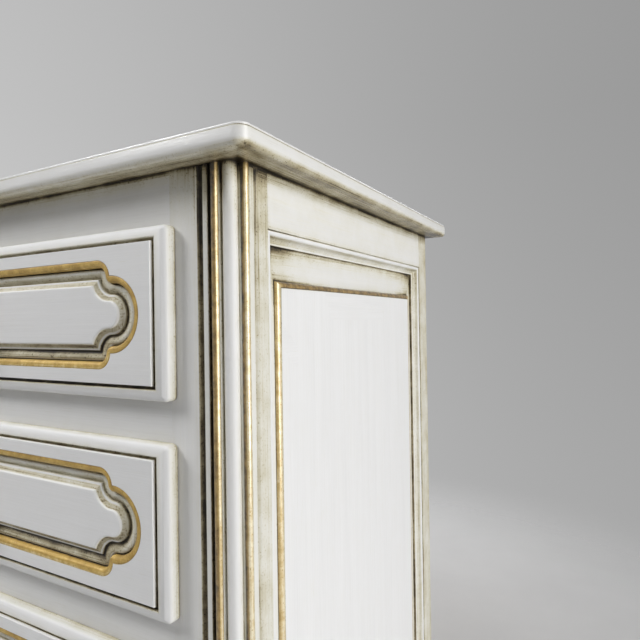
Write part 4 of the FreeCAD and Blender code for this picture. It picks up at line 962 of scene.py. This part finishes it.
def side_infill(side, hand):
    """The moulding inside the side frame, the panel and the gilded frame round its field."""
    skin = Skin()
    rings = framed(skin, side, [(p, p, deep, g) for p, deep, g in STICK_PROFILE], 0.35)
    skin.strip(rings[-1], rings[0])
    finish_mesh(
        skin, f"side_moulding_{hand}_painted", paint_back, "carcass",
        [f"side_panel_moulding_{hand}"], 24.0,
    )

    margin = [(0.0, 0.98), (0.04, 0.62), (0.10, 0.42), (0.20, 0.30), (0.34, 0.20), (0.50, 0.13)]
    margin += [(0.70, 0.11), (0.90, 0.18), (0.98, 0.4)]
    panel = [(-6.0, -6.0, 20.0, 0.0), (-6.0, -6.0, MARGIN_DEEP, 0.0)]
    panel += [(11.0, 11.0, MARGIN_DEEP, 1.0)]
    for p, g in margin:
        ty = STICK_WIDE + (TRIM_SIDE - STICK_WIDE) * p
        tz = STICK_WIDE + (TRIM_LEVEL - STICK_WIDE) * p
        panel.append((ty, tz, MARGIN_DEEP, g))
    edge = [(0.2, MARGIN_DEEP, 1.0), (5.3, MARGIN_DEEP, 1.0), (5.6, 7.9, 1.0), (5.8, 7.65, 0.5)]
    edge += [(6.2, FIELD_DEEP, 0.06), (7.7, FIELD_DEEP, 0.0)]
    panel += [(TRIM_SIDE + p, TRIM_LEVEL + p, deep, g) for p, deep, g in edge]
    panel += [(60.0, 80.0, FIELD_DEEP, 0.0)]
    skin = Skin()
    rings = framed(skin, side, panel, 1.0)
    skin.cap(rings[0])
    skin.cap(rings[-1])
    finish_mesh(
        skin, f"side_panel_{hand}_painted", paint_up, "carcass", [f"side_panel_{hand}"],
        24.0,
    )

    ovolo = [(0.0, 11.9, 1.0), (0.0, 11.3, 0.85)]
    ovolo += [(p, 11.35 - q, g) for p, q, g in arc(4.2, 0.0, 4.2, 180.0, 96.0, 0.22, 0.0, 8.0, 3.7)]
    ovolo += [(5.1, 7.62, 0.08), (5.5, 7.75, 0.5), (5.6, 8.0, 1.0), (5.6, 11.9, 1.0)]
    skin = Skin()
    ovolo = [(TRIM_SIDE + p, TRIM_LEVEL + p, deep, g) for p, deep, g in ovolo]
    # The level runs of the gilded frame are painted darker, as shade.
    rings = framed(skin, side, ovolo, level_painted_shade=0.48)
    skin.strip(rings[-1], rings[0])
    finish_mesh(
        skin, f"side_gilding_{hand}", gilt_up, "carcass", [f"side_gilt_frame_{hand}"],
        24.0,
    )


# Top and base board: a profile swept round the sides and the front. A point is (inset,
# level, glaze).

# The underside of the top is glazed olive, partly as painted shade beneath the overhang.
SLAB_PROFILE = (
    [(60.0, 0.0, 0.3), (33.0, 0.0, 0.85), (28.6, 0.0, 1.0), (27.0, 0.0, 1.0), (26.2, 0.0, 0.95)]
    + [(25.2, 0.0, 0.65), (23.5, 0.0, 0.46), (21.0, 0.0, 0.37), (16.0, 0.0, 0.32)]
    + [(11.0, 0.0, 0.31), (8.0, 0.0, 0.32), (5.6, 0.0, 0.30)]
    + arc(5.0, 6.5, 5.0, 270.0, 215.0, 0.30, 0.20, 7.0, 6.5)
    + arc(5.0, 6.5, 5.0, 208.0, 180.0, 0.14, 0.03, 7.0, 6.5)
    + [(0.02, 8.5, 0.03), (0.14, 10.5, 0.03), (0.36, 13.6, 0.04), (0.45, 14.8, 0.10)]
    + [(0.6, 15.1, 0.5), (1.1, 15.3, 0.7), (1.2, 15.5, 0.5), (1.2, 15.9, 0.06), (1.2, 16.9, 0.0)]
    + [(1.4, 17.5, 0.0), (1.8, 17.87, 0.0), (2.5, 18.0, 0.0), (6.0, 18.0, 0.0), (34.0, 18.0, 0.0)]
)

BASE_PROFILE = (
    [(60.0, 0.0, 0.0), (1.2, 0.0, 0.1), (0.4, 0.4, 0.1), (0.0, 1.2, 0.08), (0.0, 11.5, 0.04)]
    + [(0.0, 13.4, 0.1), (0.15, 14.0, 0.5), (0.5, 14.6, 0.9), (0.9, 15.0, 0.9), (1.3, 15.1, 0.3)]
    + arc(9.5, 15.4, 8.2, 180.0, 90.0, 0.05, 0.22, 9.0, 8.4)
    + [(11.0, 23.9, 0.4), (13.6, 24.0, 0.9), (20.0, 24.0, 1.0), (60.0, 24.0, 0.2)]
)


CORNER_STEPS = 12


def swept_board(name, profile, over_side, over_front, y_rear, corner, low, nodes):
    """A top or base board. Its front corners are round and its rear is cut square. The
    glaze, with the painted shade it carries, lies thicker where the edge faces sideways."""
    skin = Skin()
    half_x = HALF + over_side
    y_front = FRONT - over_front
    rings = []
    for inset, level, glaze_and_painted_light in profile:
        x = half_x - inset
        y = y_front + inset
        radius = max(corner - inset, 0.0)
        loop = [(x, y_rear, low + level, 1.0)]
        for i in range(CORNER_STEPS + 1):
            turn = math.radians(-90.0 * i / CORNER_STEPS)
            sideways = math.cos(turn)
            px = x - radius + radius * sideways
            loop.append((px, y + radius + radius * math.sin(turn), low + level, sideways))
        loop += [(-px, py, pz, sideways) for px, py, pz, sideways in reversed(loop)]
        rings.append([skin.point(p[:3], glaze_and_painted_light * (1.0 + 1.1 * p[3])) for p in loop])
    skin.closed(rings)
    finish_mesh(skin, name, paint_top, "carcass", nodes)


# Turned feet. A point is (radius, level, glaze).

FOOT_PROFILE = (
    [(16.0, 0.0, 0.6), (17.0, 1.0, 0.35), (17.0, 3.2, 0.15), (17.6, 4.2, 0.5), (20.6, 8.0, 0.12)]
    + [(24.6, 13.0, 0.05), (28.6, 19.0, 0.0), (31.6, 26.0, 0.0), (33.0, 33.0, 0.0)]
    + [(32.6, 38.0, 0.0), (31.0, 42.0, 0.0), (28.4, 45.4, 0.06), (25.0, 48.4, 0.2)]
    + [(22.0, 50.8, 0.5), (20.4, 52.4, 0.8), (20.0, 54.0, 0.7), (20.0, 58.4, 0.5)]
    + [(21.0, 59.6, 0.6), (26.0, 61.0, 0.3), (29.0, 62.2, 0.1), (30.0, 63.6, 0.03)]
    + [(30.0, 69.0, 0.06), (29.6, 70.0, 0.6), (10.0, 70.0, 1.0)]
)


def feet():
    for end, y in (("front", FRONT + FOOT_INSET), ("rear", REAR - FOOT_INSET)):
        for hand, x in (("left", FOOT_INSET - HALF), ("right", HALF - FOOT_INSET)):
            def place(radius, turn, level, x=x, y=y):
                return (x + radius * math.cos(turn), y + radius * math.sin(turn), level)

            skin = Skin()
            lathe(skin, FOOT_PROFILE, place, FOOT_STEPS)
            foot = f"foot_{end}_{hand}"
            finish_mesh(skin, f"{foot}_turned", paint_up, "carcass", [foot], 34.0)


for number, centre in enumerate(CENTRES, start=1):
    drawer_front(number, centre)
    drawer_knobs(number, centre)
for side, hand in ((-1, "left"), (1, "right")):
    corner_post(side, hand)
    side_frame(side, hand)
    side_infill(side, hand)
front_rails()
swept_board(
    "top_slab_painted", SLAB_PROFILE, SLAB_SIDE, SLAB_FRONT, REAR + SLAB_BACK, SLAB_CORNER, TOP,
    ["top_slab"],
)
swept_board(
    "base_board_painted", BASE_PROFILE, BASE_OVER, BASE_OVER, REAR, BASE_CORNER,
    BASE_TOP - BASE_THICK, ["base_board"],
)
feet()

# The inside and the back of the chest are bare wood.
for name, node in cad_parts.items():
    if not node.hide_render:
        wood = wood_back if "_side_" in name or "runners" in name else wood_across
        node.data.materials.clear()
        node.data.materials.append(wood)


# Stage, light and camera, in metres

FLOOR = 9.0
FADE_FROM, FADE_TO = 0.95, 2.1
# Grey of the backdrop before it grows brighter towards the left and the floor
BACKDROP = 0.367


def stage_floor():
    """A pale floor that fades into the backdrop away from the chest."""
    mesh = bpy.data.meshes.new("floor")
    corners = [(-FLOOR, -FLOOR, 0), (FLOOR, -FLOOR, 0), (FLOOR, FLOOR, 0), (-FLOOR, FLOOR, 0)]
    mesh.from_pydata(corners, [], [(0, 1, 2, 3)])
    made = put("floor", mesh)
    material, n, shader = new_material("studio_floor")
    place = n.place()
    cloud = n.noise(place, 5.0, 4.0, 0.6)
    tones = [(0.3, (0.66, 0.66, 0.665)), (0.7, (0.70, 0.70, 0.705))]
    n.link(n.ramp(cloud, tones), shader.inputs["Base Color"])
    shader.inputs["Roughness"].default_value = 0.7
    length = n.add("ShaderNodeVectorMath", operation="LENGTH")
    n.link(place, length.inputs[0])
    fade = n.add("ShaderNodeMapRange", interpolation_type="SMOOTHSTEP")
    n.link(length.outputs["Value"], fade.inputs["Value"])
    fade.inputs["From Min"].default_value = FADE_FROM
    fade.inputs["From Max"].default_value = FADE_TO
    clear = n.add("ShaderNodeBsdfTransparent")
    blend = n.add("ShaderNodeMixShader")
    n.link(fade.outputs["Result"], blend.inputs["Fac"])
    n.link(shader.outputs[0], blend.inputs[1])
    n.link(clear.outputs[0], blend.inputs[2])
    output = [x for x in material.node_tree.nodes if x.type == "OUTPUT_MATERIAL"][0]
    n.link(blend.outputs[0], output.inputs["Surface"])
    mesh.materials.append(material)


def soft_world():
    """Low even studio light, with a grey gradient that the camera and the gold see."""
    world = bpy.data.worlds.new("studio")
    world.use_nodes = True
    bpy.context.scene.world = world
    tree = world.node_tree
    tree.nodes.clear()
    n = Nodes(tree)
    way = n.add("ShaderNodeTexCoord").outputs["Generated"]
    axes = n.add("ShaderNodeSeparateXYZ")
    n.link(way, axes.inputs[0])
    x, z = axes.outputs["X"], axes.outputs["Z"]
    leftward = n.math("MAXIMUM", n.math("MULTIPLY", x, -1.0), -0.1)
    left = n.math("MULTIPLY", leftward, n.math("ADD", n.math("MULTIPLY", leftward, 0.15), 0.12))
    low = n.spread(z, 0.34, -0.3, -0.033, 0.027)
    seen = n.math("ADD", n.math("ADD", left, low), BACKDROP)
    shown = n.add("ShaderNodeBackground")
    n.link(n.grey(seen), shown.inputs["Color"])
    light = n.add("ShaderNodeBackground")
    light.inputs["Color"].default_value = (0.985, 0.99, 1.0, 1.0)
    light.inputs["Strength"].default_value = 0.03
    path = n.add("ShaderNodeLightPath")
    looked = n.math("ADD", path.outputs["Is Camera Ray"], path.outputs["Is Glossy Ray"], clamp=True)
    blend = n.add("ShaderNodeMixShader")
    n.link(looked, blend.inputs["Fac"])
    n.link(light.outputs[0], blend.inputs[1])
    n.link(shown.outputs[0], blend.inputs[2])
    output = n.add("ShaderNodeOutputWorld")
    n.link(blend.outputs[0], output.inputs["Surface"])


CORNER = (0.55, -0.22, 0.75)
DRAWERS = (0.35, -0.25, 0.75)
WARM = (1.0, 0.995, 0.985)
PLAIN = (1.0, 1.0, 1.0)
# A lamp is (name, place, what it points at, width, height, power, colour).
LAMPS = [
    ("side_window", (2.96, -0.35, 1.05), CORNER, 1.4, 2.4, 53.0, WARM),
    ("side_window_front", (2.96, -0.87, 1.15), CORNER, 2.2, 2.4, 18.0, WARM),
    ("front_left_above", (-1.25, -1.40, 2.30), DRAWERS, 0.8, 0.8, 33.0, PLAIN),
    ("front_left_high", (-1.05, -1.20, 2.65), DRAWERS, 0.8, 0.8, 15.0, PLAIN),
    ("overhead", (0.35, -1.10, 3.20), DRAWERS, 1.2, 1.2, 13.0, PLAIN),
    ("left_fill", (-3.0, 0.35, 1.20), (-0.55, 0.0, 0.50), 1.6, 2.0, 40.0, PLAIN),
    ("rear_fill", (-0.6, 2.9, 1.60), (0.0, 0.25, 0.50), 2.0, 1.6, 40.0, PLAIN),
]


def softbox(name, place, aim, size_x, size_y, power, colour):
    data = bpy.data.lights.new(name, "AREA")
    data.shape = "RECTANGLE"
    data.size = size_x
    data.size_y = size_y
    data.energy = power
    data.color = colour
    made = put(name, data)
    made.location = place
    made.rotation_euler = (Vector(aim) - Vector(place)).to_track_quat("-Z", "Y").to_euler()


# The photograph's camera, worked out from the straight lines of the chest: its turns in
# degrees, its focal length and the photograph's width in pixels, and its distances from
# the corner, the face and the underside of the top in millimetres
YAW, PITCH, ROLL = 29.21, 0.29, -0.84
FOCAL_PIXELS, PHOTO_PIXELS = 535.26, 640.0
RIGHT_OF_CORNER, BEFORE_FACE, BELOW_TOP = 266.5, 341.2, 132.9
SENSOR = 36.0


def photo_camera():
    yaw, pitch, roll = math.radians(YAW), math.radians(PITCH), math.radians(ROLL)
    level = math.cos(pitch)
    ahead = Vector((-math.sin(yaw) * level, math.cos(yaw) * level, math.sin(pitch)))
    right = Vector((math.cos(yaw), math.sin(yaw), 0.0))
    up = right.cross(ahead)
    turned_right = right * math.cos(roll) + up * math.sin(roll)
    turned_up = up * math.cos(roll) - right * math.sin(roll)
    data = bpy.data.cameras.new("photo_camera")
    data.sensor_width = SENSOR
    data.lens = SENSOR * FOCAL_PIXELS / PHOTO_PIXELS
    data.clip_start = 0.01
    camera = put("photo_camera", data)
    turn = Matrix((turned_right, turned_up, -ahead)).transposed().to_4x4()
    place = Vector((HALF + RIGHT_OF_CORNER, FRONT - BEFORE_FACE, TOP - BELOW_TOP)) * MM
    camera.matrix_world = Matrix.Translation(place) @ turn
    bpy.context.scene.camera = camera


stage_floor()
soft_world()
for lamp in LAMPS:
    softbox(*lamp)
photo_camera()
bpy.context.scene.view_settings.view_transform = "Standard"
